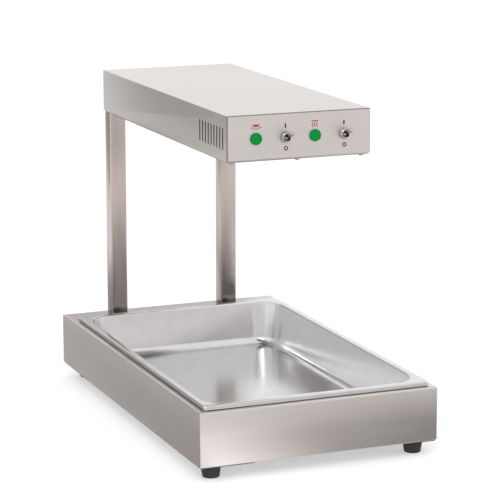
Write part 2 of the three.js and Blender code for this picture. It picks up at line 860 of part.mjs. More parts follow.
function reflectorEnd(end) {
  const half = reflectorWidth / 2 + reflectorFlange;
  const top = troughPath(endMargin).map((p) => [p.x, p.y]);
  const outline = polygon([[half, headBottom], [half, headBottom + endMargin], ...top.reverse(),
    [-half, headBottom + endMargin], [-half, headBottom]]);
  const y = reflectorY + end * (reflectorLength / 2 + seatGap + endSheet / 2);
  const body = extruded(outline, endSheet, "y").translate(0, y, 0);
  const holes = sides.map((side) =>
    placed(rod(lampRadius + lampClearance, 2 * overrun, "y"), (side * lampSpacing) / 2, y, lampZ),
  );
  return cut(body, ...holes);
}

function heaterTube(side) {
  const reach = capFace + capBoreDepth - seatGap;
  return placed(rod(lampRadius, 2 * reach, "y"), (side * lampSpacing) / 2, reflectorY, lampZ);
}

function ceramicCap(side, end) {
  const x = (side * lampSpacing) / 2;
  const y = reflectorY + end * (capFace + capLength / 2);
  const body = extruded(rectangle(capWidth, capWidth, capCorner), capLength, "y", 2);
  const bore = rod(lampRadius + lampClearance, 2 * capBoreDepth, "y");
  return cut(placed(body, x, y, lampZ), placed(bore, x, reflectorY + end * capFace, lampZ));
}

// Midway between the guard's cross wires, where a wire along them carries a ring of points
function midwayPlaces() {
  return Array.from({ length: guardSpans }, (_, i) => (i - (guardSpans - 1) / 2) * guardPitch);
}

// A rail of the guard: straight under the tray, with both ends turned up through it
function guardRailWire(z) {
  const reach = reflectorLength / 2 + guardOverhang;
  const top = z + guardRail + traySheet + guardHook;
  const route = roundedPath([
    [-reach, top, 0],
    [-reach, z, guardBend],
    ...midwayPlaces().map((y) => [y, z, 0]),
    [reach, z, guardBend],
    [reach, top, 0],
  ]);
  return bentWire(route, guardRail, wireFacets);
}

function guardStraightWire(reach, places = []) {
  return bentWire([-reach, ...places, reach].map((y) => new THREE.Vector2(y, 0)), guardWire, wireFacets);
}

function wireGuard() {
  const railZ = trayUnderside - seatGap - guardRail;
  const wireZ = railZ - guardRail - guardWire + guardWeld;
  const wires = sides.map((side) => placed(guardRailWire(railZ), side * guardSide, reflectorY, 0));
  for (let i = 0; i <= guardSpans; i += 1) {
    const y = reflectorY + (i - guardSpans / 2) * guardPitch;
    const crossWire = guardStraightWire(guardSide + guardRail + guardWire).rotateZ(Math.PI / 2);
    wires.push(placed(crossWire, 0, y, wireZ));
  }
  const middle = guardStraightWire((guardSpans * guardPitch) / 2 + 2 * guardWire, midwayPlaces());
  wires.push(placed(middle, 0, reflectorY, wireZ + 2 * guardWire - guardWeld));
  return join(...wires);
}

function heatBaffle() {
  const width = headWidth - 2 * (headSheet + seatGap);
  const height = headHeight - headSheet - baffleTopGap;
  const wallLevel = headBottom + headSheet + height / 2;
  const wall = placed(block(width, baffleSheet, height), 0, baffleY, wallLevel);
  const narrow = headWidth - 2 * (headReturn + seatGap);
  const drop = placed(block(narrow, baffleSheet, 2 * headSheet), 0, baffleY, headBottom + headSheet);
  const heel = placed(
    block(narrow, baffleFoot, baffleSheet), 0, baffleY - baffleFoot / 2, headBottom + baffleSheet / 2,
  );
  const hole = placed(rod(baffleHole, 2 * overrun, "y"), 0, baffleY, headBottom + headHeight / 2);
  return cut(join(wall, drop, heel), hole);
}

// Controls

function switchBody(x) {
  const panelBack = coverFront + headSheet;
  const bodyY = panelBack + seatGap + switchDepth / 2;
  const bushFront = fasciaFront - bushProud;
  const bushLength = bodyY - bushFront;
  const body = placed(block(switchWidth, switchDepth, switchHeight), x, bodyY, controlHeight);
  const bush = placed(rod(bushRadius, bushLength, "y"), x, bushFront + bushLength / 2, controlHeight);
  const boreEnd = panelBack + switchBoreDepth;
  const boreLength = boreEnd - bushFront + overrun;
  const bore = placed(rod(bushBore, boreLength, "y"), x, boreEnd - boreLength / 2, controlHeight);
  const tabY = bodyY + switchDepth / 2 + (tabLength - overrun) / 2;
  const tabs = [-1, 0, 1].map((row) => tab(x, tabY, controlHeight + row * tabSpread));
  return cut(join(body, bush, ...tabs), bore);
}

function switchNut(x) {
  const shape = new THREE.Shape();
  const corner = nutAcross / 2 / Math.cos(Math.PI / 6);
  for (let i = 0; i < 6; i += 1) {
    const angle = (i * Math.PI) / 3;
    const spot = [corner * Math.cos(angle), corner * Math.sin(angle)];
    if (i) shape.lineTo(...spot);
    else shape.moveTo(...spot);
  }
  const bore = new THREE.Path();
  bore.absarc(0, 0, bushRadius + holeClearance, 0, Math.PI * 2, true);
  shape.holes.push(bore);
  const y = fasciaFront - seatGap - nutHeight / 2;
  return placed(extruded(shape, nutHeight, "y", roundFacets), x, y, controlHeight);
}

// The bat of the switch: a tail, a ball on the pivot, a neck and a swelling tip, along +z
function leverProfile() {
  const profile = [
    [0, -leverTail],
    [leverTailRadius, -leverTail],
    [leverTailRadius, -Math.sqrt(leverBall ** 2 - leverTailRadius ** 2)],
  ];
  const low = Math.asin(-Math.sqrt(1 - (leverTailRadius / leverBall) ** 2));
  const high = Math.acos(leverNeck / leverBall);
  const steps = 6;
  for (let i = 1; i <= steps; i += 1) {
    const angle = low + ((high - low) * i) / steps;
    profile.push([leverBall * Math.cos(angle), leverBall * Math.sin(angle)]);
  }
  const shoulder = leverLength - 2 * leverTip;
  profile.push([leverNeck, bushProud + leverPivot], [leverTip, shoulder]);
  for (let i = 1; i <= 4; i += 1) {
    const angle = (i * Math.PI) / 8;
    profile.push([leverTip * Math.cos(angle), leverLength - leverTip + leverTip * Math.sin(angle)]);
  }
  profile[profile.length - 1][0] = 0;
  return profile;
}

function toggleLever(x) {
  const lever = turned(leverProfile(), leverFacets);
  const tilt = THREE.MathUtils.degToRad(90 - leverTilt);
  return placed(lever.rotateX(tilt), x, fasciaFront - leverPivot, controlHeight);
}

function indicatorHolder(x) {
  const panelBack = coverFront + headSheet - fasciaFront;
  const lipBase = panelBack + seatGap;
  const profile = [
    [holderBore, 0],
    [holderRadius, 0],
    [holderRadius, lipBase],
    [holderRadius + holderLip, lipBase],
    [holderRadius + holderLip, lipBase + holderLipHeight],
    [holderRadius, lipBase + holderLipHeight],
    [holderRadius, holderDepth],
    [0, holderDepth],
    [0, lensSpigotLength + seatGap],
    [holderBore, lensSpigotLength + seatGap],
    [holderBore, 0],
  ];
  const tabY = holderDepth + (tabLength - overrun) / 2;
  return join(
    facingBack(turned(profile)),
    tab(-tabSpread / 4, tabY, 0),
    tab(tabSpread / 4, tabY, 0),
  ).translate([x, fasciaFront, controlHeight]);
}

function indicatorLens(x) {
  const profile = [
    [0, -lensSpigotLength],
    [lensSpigot, -lensSpigotLength],
    [lensSpigot, seatGap],
    [lensRadius, seatGap],
    [lensRadius, lensProud - lensCrown],
    [lensRadius - lensCrown / 2, lensProud - lensCrown / 4],
    [lensRadius - 2 * lensCrown, lensProud],
    [0, lensProud + lensCrown / 4],
  ];
  return placed(facingFront(turned(profile)), x, fasciaFront, controlHeight);
}

// Pan

function foodPan() {
  const path = roundedPath([
    [rimWidth + panDraft + panFloorRadius + panFloorMargin, panUnderside + panSheet, 0],
    [rimWidth + panDraft, panUnderside + panSheet, panFloorRadius],
    [rimWidth, rimTop, mouthRoll],
    [0, rimTop, rimRoll],
    [0, rimTop - rimDrop, 0],
  ]);
  const radiusAt = (inset) =>
    inset < rimWidth
      ? rimCorner + ((mouthCorner - rimCorner) * Math.max(inset, 0)) / rimWidth
      : mouthCorner + rimWidth - inset;
  const tray = pressedTray(sheetSection(path, panSheet), panWidth / 2, panLength / 2, radiusAt);
  return tray.translate(0, panY, 0);
}

// Assembly

function baseGroup() {
  const group = new THREE.Group();
  const matLevel = standHeight + boardThickness + seatGap;
  const spreaderLevel = matLevel + matThickness + seatGap;
  const spreader = underWell(spreaderMargin, spreaderThickness, spreaderLevel);
  const mat = underWell(spreaderMargin + matMargin, matThickness, matLevel);
  const board = underWell(spreaderMargin + boardMargin, boardThickness, standHeight);
  group.add(
    piece("base_housing", baseHousing(), "brushed"),
    piece("base_bottom_plate", bottomPlate(), "galvanised"),
    piece("well_liner", wellLiner(), "brushed"),
    piece("heat_spreader", spreader, "aluminium"),
    piece("heating_mat", mat, "silicone"),
    piece("insulation_board", board, "board"),
    piece("limiter_thermostat", thermostat(), "greyPlastic"),
    piece("terminal_block", terminalBlock(), "greyPlastic"),
    piece("cable_gland", cableGland(), "blackPlastic"),
  );
  footPlaces.forEach(({ name, x, y }) => {
    const rubber = piece("foot_" + name, foot(), "rubber");
    const fixing = piece("foot_screw_" + name, footScrew(), "zinc");
    rubber.position.set(x, y, 0);
    fixing.position.set(x, y, 0);
    group.add(rubber, fixing);
  });
  return group;
}

function postGroup() {
  const group = new THREE.Group();
  postPlaces.forEach(({ name, x }) => {
    group.add(
      piece("post_" + name, post(x), "brushed"),
      piece("post_mount_plate_" + name, mountPlate(x), "galvanised"),
    );
    const levels = ["lower", "upper"];
    basePostScrewPlaces(x).forEach((place, i) => {
      group.add(piece(`base_post_screw_${name}_${levels[i]}`, rearScrew(place, baseDepth / 2), "zinc"));
    });
    headPostScrewPlaces(x).forEach((place, i) => {
      group.add(piece(`head_post_screw_${name}_${levels[i]}`, rearScrew(place, headBack), "zinc"));
    });
  });
  return group;
}

function headGroup() {
  const group = new THREE.Group();
  group.add(
    piece("head_cover", headCover(), "brushed"),
    piece("front_fascia", frontFascia(), "fascia"),
    piece("head_tray", headTray(), "brushed"),
    piece("reflector", reflector(), "aluminium"),
    piece("wire_guard", wireGuard(), "chrome"),
    piece("heat_baffle", heatBaffle(), "galvanised"),
  );
  ends.forEach((end) => {
    group.add(piece("reflector_end_" + endNames[end], reflectorEnd(end), "aluminium"));
  });
  sides.forEach((side) => {
    group.add(piece("heater_tube_" + sideNames[side], heaterTube(side), "quartz"));
    ends.forEach((end) => {
      group.add(piece(`ceramic_cap_${sideNames[side]}_${endNames[end]}`, ceramicCap(side, end), "ceramic"));
    });
  });
  trayScrewPlaces.forEach(({ name, x, y }) => {
    const body = screw(trayScrewRadius, trayScrewHead, trayScrewHeadHeight, trayScrewReach);
    const fixing = piece("tray_screw_" + name, body, "zinc");
    fixing.position.set(x, y, trayUnderside - seatGap);
    group.add(fixing);
  });
  return group;
}

function controlGroup() {
  const group = new THREE.Group();
  controls.forEach(({ name, kind, x }) => {
    const side = name.split("_")[1];
    if (kind === "lamp") {
      group.add(
        piece("indicator_holder_" + side, indicatorHolder(x), "blackPlastic"),
        piece("indicator_lens_" + side, indicatorLens(x), "lens"),
      );
      return;
    }
    group.add(
      piece("switch_body_" + side, switchBody(x), "greyPlastic"),
      piece("switch_nut_" + side, switchNut(x), "chrome"),
      piece("toggle_lever_" + side, toggleLever(x), "chrome"),
    );
  });
  return group;
}

const gantry = new THREE.Group();
gantry.add(baseGroup(), postGroup(), headGroup(), controlGroup(), piece("gn_pan", foodPan(), "polished"));
gantry.position.y = -rearProjection / 2; // the origin is under the middle of the whole outline

export default gantry;
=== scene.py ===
# The looks of a heat lamp gantry, built round its CAD frame.
# Metres, +Z up, the controls face -Y, the counter is z = 0.
from math import asin, cos, pi, radians, sin, sqrt

import bmesh
import bpy
from mathutils import Matrix, Vector


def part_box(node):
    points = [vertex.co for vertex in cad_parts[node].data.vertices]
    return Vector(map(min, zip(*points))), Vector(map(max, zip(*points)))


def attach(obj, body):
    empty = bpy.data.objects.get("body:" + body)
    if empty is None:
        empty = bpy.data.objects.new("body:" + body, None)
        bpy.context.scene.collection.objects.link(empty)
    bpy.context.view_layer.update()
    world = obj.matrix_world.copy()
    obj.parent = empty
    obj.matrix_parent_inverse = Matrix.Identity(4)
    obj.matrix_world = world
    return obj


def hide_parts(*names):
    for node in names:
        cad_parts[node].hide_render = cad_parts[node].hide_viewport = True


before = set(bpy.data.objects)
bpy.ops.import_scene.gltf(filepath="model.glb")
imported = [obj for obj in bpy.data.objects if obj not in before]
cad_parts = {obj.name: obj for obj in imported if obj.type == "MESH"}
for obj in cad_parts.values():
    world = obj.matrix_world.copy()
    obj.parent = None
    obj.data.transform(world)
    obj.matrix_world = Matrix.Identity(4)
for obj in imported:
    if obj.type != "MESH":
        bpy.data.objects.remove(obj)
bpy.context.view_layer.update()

sides = {"left": -1, "right": 1}
ends = ("front", "rear")
weld = 1e-6  # vertices closer than this are joined
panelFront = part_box("front_fascia")[0].y


# Bmesh helpers

def boxOf(node):
    # lowest and highest corner, middle and half size of a CAD node
    low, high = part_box(node)
    return low, high, (low + high) / 2, (high - low) / 2


def edgesOf(verts):
    return list({edge for vert in verts for edge in vert.link_edges})


def vertsAmong(items):
    # the vertices in what an operator gives back
    return [item for item in items if isinstance(item, bmesh.types.BMVert)]


def addedSince(bm, before):
    return [vert for vert in bm.verts if vert not in before]


def roundOff(bm, geom, offset, steps, affect="EDGES"):
    return bmesh.ops.bevel(
        bm, geom=geom, offset=offset, offset_type="OFFSET", segments=steps,
        profile=0.5, affect=affect, material=-1,
    )["verts"]


def pullFaces(bm, faces, way):
    pulled = bmesh.ops.extrude_face_region(bm, geom=faces)["geom"]
    bmesh.ops.translate(bm, vec=way, verts=vertsAmong(pulled))


def pullLoop(bm, edges, way):
    # extrudes a loop of edges and gives back its far loop
    pulled = bmesh.ops.extrude_edge_only(bm, edges=edges)["geom"]
    verts = vertsAmong(pulled)
    bmesh.ops.translate(bm, vec=way, verts=verts)
    return [
        item for item in pulled
        if isinstance(item, bmesh.types.BMEdge) and all(vert in verts for vert in item.verts)
    ]


def addRing(bm, halfX, halfY, level, corner, steps, centre=(0, 0)):
    # a level rectangle with rounded corners, as one face
    verts = bmesh.ops.create_grid(bm, x_segments=1, y_segments=1, size=1)["verts"]
    bmesh.ops.scale(bm, vec=(halfX, halfY, 1), verts=verts)
    bmesh.ops.translate(bm, vec=(*centre, level), verts=verts)
    return roundOff(bm, verts, corner, steps, "VERTICES")[0].link_faces[0]


def loftRings(bm, rings, steps, closed=False):
    # skins (half width, half depth, level, corner, centre) rings; a closed run has no end faces
    # the rings are joined while they are stacked, since rings in one plane would be joined crossed
    apart = 0.1
    faces = [
        addRing(bm, halfX, halfY, apart * i, corner, steps, centre)
        for i, (halfX, halfY, _, corner, centre) in enumerate(rings)
    ]
    loops = [(list(face.verts), list(face.edges)) for face in faces]
    bmesh.ops.delete(bm, geom=faces if closed else faces[1:-1], context="FACES_ONLY")
    following = loops[1:] + loops[:1] if closed else loops[1:]
    for (_, near), (_, far) in zip(loops, following):
        bmesh.ops.bridge_loops(bm, edges=near + far)
    for i, (verts, _) in enumerate(loops):
        bmesh.ops.translate(bm, vec=(0, 0, rings[i][2] - apart * i), verts=verts)


def loftTray(bm, rows, size, steps, closed=False, centre=(0, 0)):
    # rows are (inset, level, corner) round a rectangle of half sizes (x, y)
    rings = [(size[0] - inset, size[1] - inset, level, corner, centre) for inset, level, corner in rows]
    loftRings(bm, rings, steps, closed)


def bendRows(inset, level, radius, corner, steps):
    # rows round a top bend, from the wall to the flat; inset and level are where the sharp edge would be
    leastCorner = 0.0002
    rows = []
    for i in range(steps + 1):
        turn = i / steps * pi / 2
        offset = radius * (1 - cos(turn))
        rows.append((inset + offset, level - radius * (1 - sin(turn)), max(corner - offset, leastCorner)))
    return rows


def addCircle(bm, radius, steps, place=Matrix.Identity(4), filled=False):
    return bmesh.ops.create_circle(bm, cap_ends=filled, segments=steps, radius=radius, matrix=place)["verts"]


def spinRound(bm, geom, angle, steps, centre=(0, 0, 0), axis=(0, 0, 1), rise=0.0, merge=False):
    return bmesh.ops.spin(
        bm, geom=geom, cent=centre, axis=axis, dvec=(0, 0, rise), angle=angle, steps=steps,
        use_merge=merge, use_normal_flip=False, use_duplicate=False,
    )["geom_last"]


def turnProfile(bm, profile, steps):
    # a turned shape from (radius, height) pairs; the profile ends on the axis or closes on itself
    verts = [bm.verts.new((radius, 0, height)) for radius, height in profile]
    edges = [bm.edges.new(pair) for pair in zip(verts, verts[1:])]
    if profile[0][0] > 0:
        edges.append(bm.edges.new((verts[-1], verts[0])))
    spinRound(bm, verts + edges, 2 * pi, steps, merge=True)
    bmesh.ops.remove_doubles(bm, verts=bm.verts, dist=weld)


def addBlock(bm, corner, opposite, edge=0.0):
    low = Vector([min(pair) for pair in zip(corner, opposite)])
    high = Vector([max(pair) for pair in zip(corner, opposite)])
    made = bmesh.ops.create_cube(bm, size=1)["verts"]
    bmesh.ops.scale(bm, vec=high - low, verts=made)
    bmesh.ops.translate(bm, vec=(low + high) / 2, verts=made)
    if edge:
        roundOff(bm, edgesOf(made), edge, 2)


def addRod(bm, radius, start, end, steps, edge=0.0):
    start, end = Vector(start), Vector(end)
    way = end - start
    turn = Vector((0, 0, 1)).rotation_difference(way).to_matrix().to_4x4()
    made = bmesh.ops.create_cone(
        bm, cap_ends=True, cap_tris=False, segments=steps, radius1=radius, radius2=radius,
        depth=way.length, matrix=Matrix.Translation((start + end) / 2) @ turn,
    )["verts"]
    if edge:
        rims = [rim for rim in edgesOf(made) if any(len(face.verts) == steps for face in rim.link_faces)]
        roundOff(bm, rims, edge, 2)


def tipOver(bm, degrees):
    # turns everything about the x axis
    turn = Matrix.Rotation(radians(degrees), 3, "X")
    bmesh.ops.rotate(bm, cent=(0, 0, 0), matrix=turn, verts=bm.verts)


def faceFront(bm):
    # what was made upwards along z now points out of the front, along -y
    tipOver(bm, 90)


def faceBack(bm):
    tipOver(bm, -90)


def moveAll(bm, place):
    bmesh.ops.translate(bm, vec=place, verts=bm.verts)


def takeMesh(bm, name):
    # the bmesh becomes a mesh and is let go
    mesh = bpy.data.meshes.new(name)
    bm.to_mesh(mesh)
    bm.free()
    return mesh


def addObject(name, data):
    made = bpy.data.objects.new(name, data)
    bpy.context.scene.collection.objects.link(made)
    return made


def makePiece(bm, name, finish, nodes=(), body="gantry", crease=35, tidy=True):
    # the bmesh becomes a finished object that rides on its body and stands for its CAD nodes
    if tidy:
        bmesh.ops.remove_doubles(bm, verts=bm.verts, dist=weld)
        bmesh.ops.recalc_face_normals(bm, faces=bm.faces)
    for face in bm.faces:
        face.smooth = True
    mesh = takeMesh(bm, name)
    mesh.set_sharp_from_angle(angle=radians(crease))
    mesh.materials.append(finishes[finish])
    piece = addObject(name, mesh)
    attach(piece, body)
    if nodes:
        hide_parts(*nodes)
    return piece


def cutAway(piece, bm):
    # cuts the bmesh's shapes out of a piece for good
    bmesh.ops.recalc_face_normals(bm, faces=bm.faces)
    tool = addObject("cutter", takeMesh(bm, "cutter"))
    cut = piece.modifiers.new("cut", "BOOLEAN")
    cut.operation = "DIFFERENCE"
    cut.solver = "EXACT"
    cut.object = tool
    bpy.context.view_layer.update()
    done = bpy.data.meshes.new_from_object(piece.evaluated_get(bpy.context.evaluated_depsgraph_get()))
    if not done.polygons:
        raise ValueError("nothing is left of " + piece.name)
    piece.modifiers.clear()
    old = piece.data
    piece.data = done
    done.name = old.name
    bpy.data.meshes.remove(old)
    bpy.data.objects.remove(tool)


# Material helpers

class Finish:
    # a node material and the few calls that every finish here uses

    def __init__(self, name, color, metallic=0.0, roughness=0.5):
        self.material = bpy.data.materials.new(name)
        self.material.use_nodes = True
        self.tree = self.material.node_tree
        self.shader = self.tree.nodes["Principled BSDF"]
        self.shader.inputs["Base Color"].default_value = (*color, 1)
        self.shader.inputs["Metallic"].default_value = metallic
        self.shader.inputs["Roughness"].default_value = roughness
        coords = self.tree.nodes.new("ShaderNodeTexCoord")
        self.place, self.facing = coords.outputs["Object"], coords.outputs["Normal"]

    def node(self, kind, settings=None, **links):
        # settings go to the node or its sockets, links come from other nodes
        made = self.tree.nodes.new(kind)
        for name, value in (settings or {}).items():
            if name in made.inputs and not hasattr(made, name):
                made.inputs[name].default_value = value
            else:
                setattr(made, name, value)
        for name, source in links.items():
            self.tree.links.new(source, made.inputs[name.replace("_", " ")])
        return made

    def stretched(self, scale):
        return self.node("ShaderNodeMapping", {"Scale": scale}, Vector=self.place).outputs["Vector"]

    def noise(self, scale, detail=2, vector=None):
        settings = {"Scale": scale, "Detail": detail, "Roughness": 0.5}
        return self.node("ShaderNodeTexNoise", settings, Vector=vector or self.place).outputs["Fac"]

    def cells(self, scale, **settings):
        return self.node("ShaderNodeTexVoronoi", {"Scale": scale, **settings}, Vector=self.place).outputs

    def parts(self, vector):
        return self.node("ShaderNodeSeparateXYZ", Vector=vector).outputs

    def ramp(self, fac, stops):
        made = self.node("ShaderNodeValToRGB", Fac=fac)
        band = made.color_ramp
        band.elements[0].position, band.elements[0].color = stops[0][0], (*stops[0][1], 1)
        band.elements[1].position, band.elements[1].color = stops[-1][0], (*stops[-1][1], 1)
        for place, color in stops[1:-1]:
            band.elements.new(place).color = (*color, 1)
        return made.outputs["Color"]

    def spread(self, fac, low, high, fromLow=0.3, fromHigh=0.7):
        made = self.node("ShaderNodeMapRange", Value=fac)
        for name, value in zip(("From Min", "From Max", "To Min", "To Max"), (fromLow, fromHigh, low, high)):
            made.inputs[name].default_value = value
        return made.outputs["Result"]

    def math(self, operation, *values):
        made = self.node("ShaderNodeMath", {"operation": operation})
        for socket, value in zip(made.inputs, values):
            if isinstance(value, (int, float)):
                socket.default_value = value
            else:
                self.tree.links.new(value, socket)
        return made.outputs[0]

    def mix(self, fac, one, other):
        made = self.node("ShaderNodeMix", {"data_type": "FLOAT"})
        for socket, source in ((0, fac), (2, one), (3, other)):
            self.tree.links.new(source, made.inputs[socket])
        return made.outputs[0]

    def dimmed(self, tint, amount):
        made = self.node("ShaderNodeVectorMath", {"operation": "SCALE"}, Scale=amount)
        self.tree.links.new(tint, made.inputs[0])
        return made.outputs[0]

    def bump(self, height, strength, distance):
        settings = {"Strength": strength, "Distance": distance}
        return self.node("ShaderNodeBump", settings, Height=height).outputs["Normal"]

    def connect(self, **links):
        for name, source in links.items():
            self.tree.links.new(source, self.shader.inputs[name.replace("_", " ")])
        return self.material


def brushedMetal(name, look):
    # fine parallel scratches over soft bands; on the faces that look sideways they run along the depth; a
    # shade dims the tint as painted shade
    finish = Finish(name, look["light"], metallic=1.0, roughness=look["roughness"])
    long, scratchShare = look["alongBrush"], look["scratchShare"]

    def brushed(axes):
        # scratches and bands that lie across the axes marked 1
        return [
            finish.noise(1.0, vector=finish.stretched([(along, across)[axis] for axis in axes]))
            for along, across in ((long, look["acrossBrush"]), (long / 3, look["acrossBand"]))
        ]

    if look["upright"]:
        scratches, bands = brushed((1, 1, 0))
    else:
        front, side = brushed((0, 1, 1)), brushed((1, 0, 1))
        across = finish.math("ABSOLUTE", finish.parts(finish.facing)["X"])
        sideways = finish.math("GREATER_THAN", across, look["sidewaysFrom"])
        scratches, bands = (finish.mix(sideways, one, other) for one, other in zip(front, side))
    rest = finish.math("MULTIPLY", bands, 1 - scratchShare)
    share = finish.math("MULTIPLY_ADD", scratches, scratchShare, rest)
    tint = finish.ramp(share, list(zip(look["tintSpan"], (look["dark"], look["light"]))))
    # painted shade: depth dims the tint along the shade's axis, and clearBelow keeps it off below a level
    if look["shade"]:
        axis, start, end, amount = look["shade"]
        place = finish.parts(finish.place)
        depth = finish.spread(place[axis], amount, 1, start, end)
        if look["clearBelow"]:
            under = finish.spread(place["Z"], 1, 0, look["clearBelow"] - 0.0003, look["clearBelow"])
            depth = finish.math("MAXIMUM", depth, under)
        tint = finish.dimmed(tint, depth)
    low, high = (look["roughness"] + way * look["roughSpread"] for way in (-1, 1))
    relief = finish.bump(scratches, look["bump"], look["bumpDepth"])
    return finish.connect(Base_Color=tint, Roughness=finish.spread(bands, low, high), Normal=relief)


def speckled(name, dark, light, grains, roughness, bump, depth=0.0002, metallic=0.0, roughSpread=0.06):
    # a plain moulded, cast or painted finish: two tints in patches, and a fine grain, so many a metre
    finish = Finish(name, light, metallic, roughness)
    grain = finish.noise(grains, 4)
    tint = finish.ramp(finish.noise(grains / 8), [(0.35, dark), (0.65, light)])
    rough = finish.spread(grain, roughness - roughSpread, roughness + roughSpread)
    return finish.connect(Base_Color=tint, Roughness=rough, Normal=finish.bump(grain, bump, depth))


def galvanised(name, look):
    # zinc crystals as flat patches of slightly different grey; the faces of a lying sheet that look sideways
    # may be darker
    finish = Finish(name, look["tint"], metallic=1.0, roughness=look["roughness"])
    crystals = finish.cells(look["crystals"], Randomness=1.0)["Color"]
    shade = finish.node("ShaderNodeSeparateColor", Color=crystals).outputs
    tint = finish.ramp(shade[0], [(0.0, look["dark"]), (1.0, look["light"])])
    rough = finish.spread(shade[1], *look["roughSpan"], 0.0, 1.0)
    lying = finish.math("ABSOLUTE", finish.parts(finish.facing)["Z"])
    flat = finish.spread(lying, look["edgeShare"], 1)
    return finish.connect(Base_Color=finish.dimmed(tint, flat), Roughness=rough)


def stuccoAluminium(name, look):
    # rolled reflector sheet with a fine hammered relief
    finish = Finish(name, look["tint"], metallic=1.0, roughness=look["roughness"])
    dents = finish.cells(look["dents"], feature="SMOOTH_F1")["Distance"]
    tint = finish.ramp(finish.noise(look["patches"]), [(0.3, look["dark"]), (0.7, look["light"])])
    return finish.connect(Base_Color=tint, Normal=finish.bump(dents, look["bump"], look["bumpDepth"]))


def quartzGlass(name, look):
    finish = Finish(name, look["tint"], roughness=look["roughness"])
    finish.shader.inputs["Transmission Weight"].default_value = look["clear"]
    finish.shader.inputs["IOR"].default_value = look["refraction"]
    tint = finish.ramp(finish.noise(look["patches"]), [(0.3, look["dark"]), (0.7, look["light"])])
    relief = finish.bump(finish.noise(look["ripples"]), look["bump"], look["bumpDepth"])
    return finish.connect(Base_Color=tint, Normal=relief)


def lensPlastic(name, look):
    # green signal lens with small prisms moulded behind its face
    finish = Finish(name, look["tint"], roughness=look["roughness"])
    finish.shader.inputs["Specular IOR Level"].default_value = look["gloss"]
    prisms = finish.cells(look["prisms"], Randomness=look["scatter"])["Distance"]
    tint = finish.ramp(prisms, [(0.0, look["light"]), (0.8, look["dark"])])
    return finish.connect(Base_Color=tint, Normal=finish.bump(prisms, look["bump"], look["bumpDepth"]))


print("helpers ready")

steelLook = {
    "dark": (0.6, 0.572, 0.556), "light": (0.645, 0.617, 0.6), "tintSpan": (0.32, 0.68), "alongBrush": 9.0,
    "acrossBrush": 1100.0, "acrossBand": 45.0, "scratchShare": 0.14, "roughness": 0.3, "roughSpread": 0.012,
    "bump": 0.003, "bumpDepth": 0.0001, "sidewaysFrom": 0.7, "upright": False, "shade": None,
    "clearBelow": None,
}
# a shade is painted shade, given as (axis, start, end, amount): the amount before the start, nothing past the
# end
# the cover's front rim round the front panel is darkened: painted shade in the seam, kept off its return
# below
coverSteelLook = {**steelLook, "shade": ("Y", -0.2213, -0.2207, 0.4), "clearBelow": 0.4072}
# the tray is the same brushed steel in a darker tint: painted shade up under the head
traySteelLook = {**steelLook, "dark": (0.3, 0.28, 0.27), "light": (0.36, 0.34, 0.33)}
# the posts' darker, browner tints are a painted reflection of the food in the pan, and their shade is painted
# shade towards the base
postSteelLook = {
    **steelLook, "dark": (0.44, 0.392, 0.372), "light": (0.57, 0.515, 0.492), "acrossBrush": 500.0,
    "scratchShare": 0.3, "roughness": 0.2, "bump": 0.04, "upright": True, "shade": ("Z", 0.1, 0.2, 0.58),
}
fasciaSteelLook = {
    **steelLook, "dark": (0.55, 0.515, 0.495), "light": (0.58, 0.545, 0.525), "roughness": 0.45,
}
zincSheetLook = {
    "tint": (0.5, 0.51, 0.52), "dark": (0.42, 0.43, 0.44), "light": (0.54, 0.55, 0.56), "crystals": 90.0,
    "roughness": 0.42, "roughSpan": (0.36, 0.46), "edgeShare": 1.0,
}
aluminiumLook = {
    "tint": (0.84, 0.85, 0.86), "dark": (0.74, 0.75, 0.77), "light": (0.87, 0.88, 0.88), "patches": 40,
    "dents": 260.0, "roughness": 0.16, "bump": 0.35, "bumpDepth": 0.0006,
}
quartzLook = {
    "tint": (0.98, 0.95, 0.92), "dark": (0.93, 0.88, 0.83), "light": (0.99, 0.97, 0.95), "patches": 60,
    "ripples": 300, "roughness": 0.06, "clear": 0.9, "refraction": 1.46, "bump": 0.05, "bumpDepth": 0.0001,
}
lensLook = {
    "tint": (0.001, 0.24, 0.045), "dark": (0.001, 0.2, 0.034), "light": (0.001, 0.25, 0.046), "prisms": 900.0,
    "scatter": 0.15, "roughness": 0.4, "gloss": 0.05, "bump": 0.12, "bumpDepth": 0.0002,
}
finishes = {
    "brushed": brushedMetal("brushedSteel", steelLook),
    "cover": brushedMetal("coverSteel", coverSteelLook),
    "tray": brushedMetal("traySteel", traySteelLook),
    "post": brushedMetal("postSteel", postSteelLook),
    "fascia": brushedMetal("fasciaSatin", fasciaSteelLook),
    "pan": speckled(
        "pressedSteel", (0.64, 0.635, 0.645), (0.67, 0.665, 0.675), 420, 0.18, 0.004,
        metallic=1.0, roughSpread=0.012,
    ),
    "galvanised": galvanised("galvanisedSheet", zincSheetLook),
    "plate": galvanised("plateSheet", {**zincSheetLook, "edgeShare": 0.22}),
    "aluminium": stuccoAluminium("reflectorAluminium", aluminiumLook),
    "quartz": quartzGlass("quartzGlass", quartzLook),
    "lens": lensPlastic("greenLens", lensLook),
}
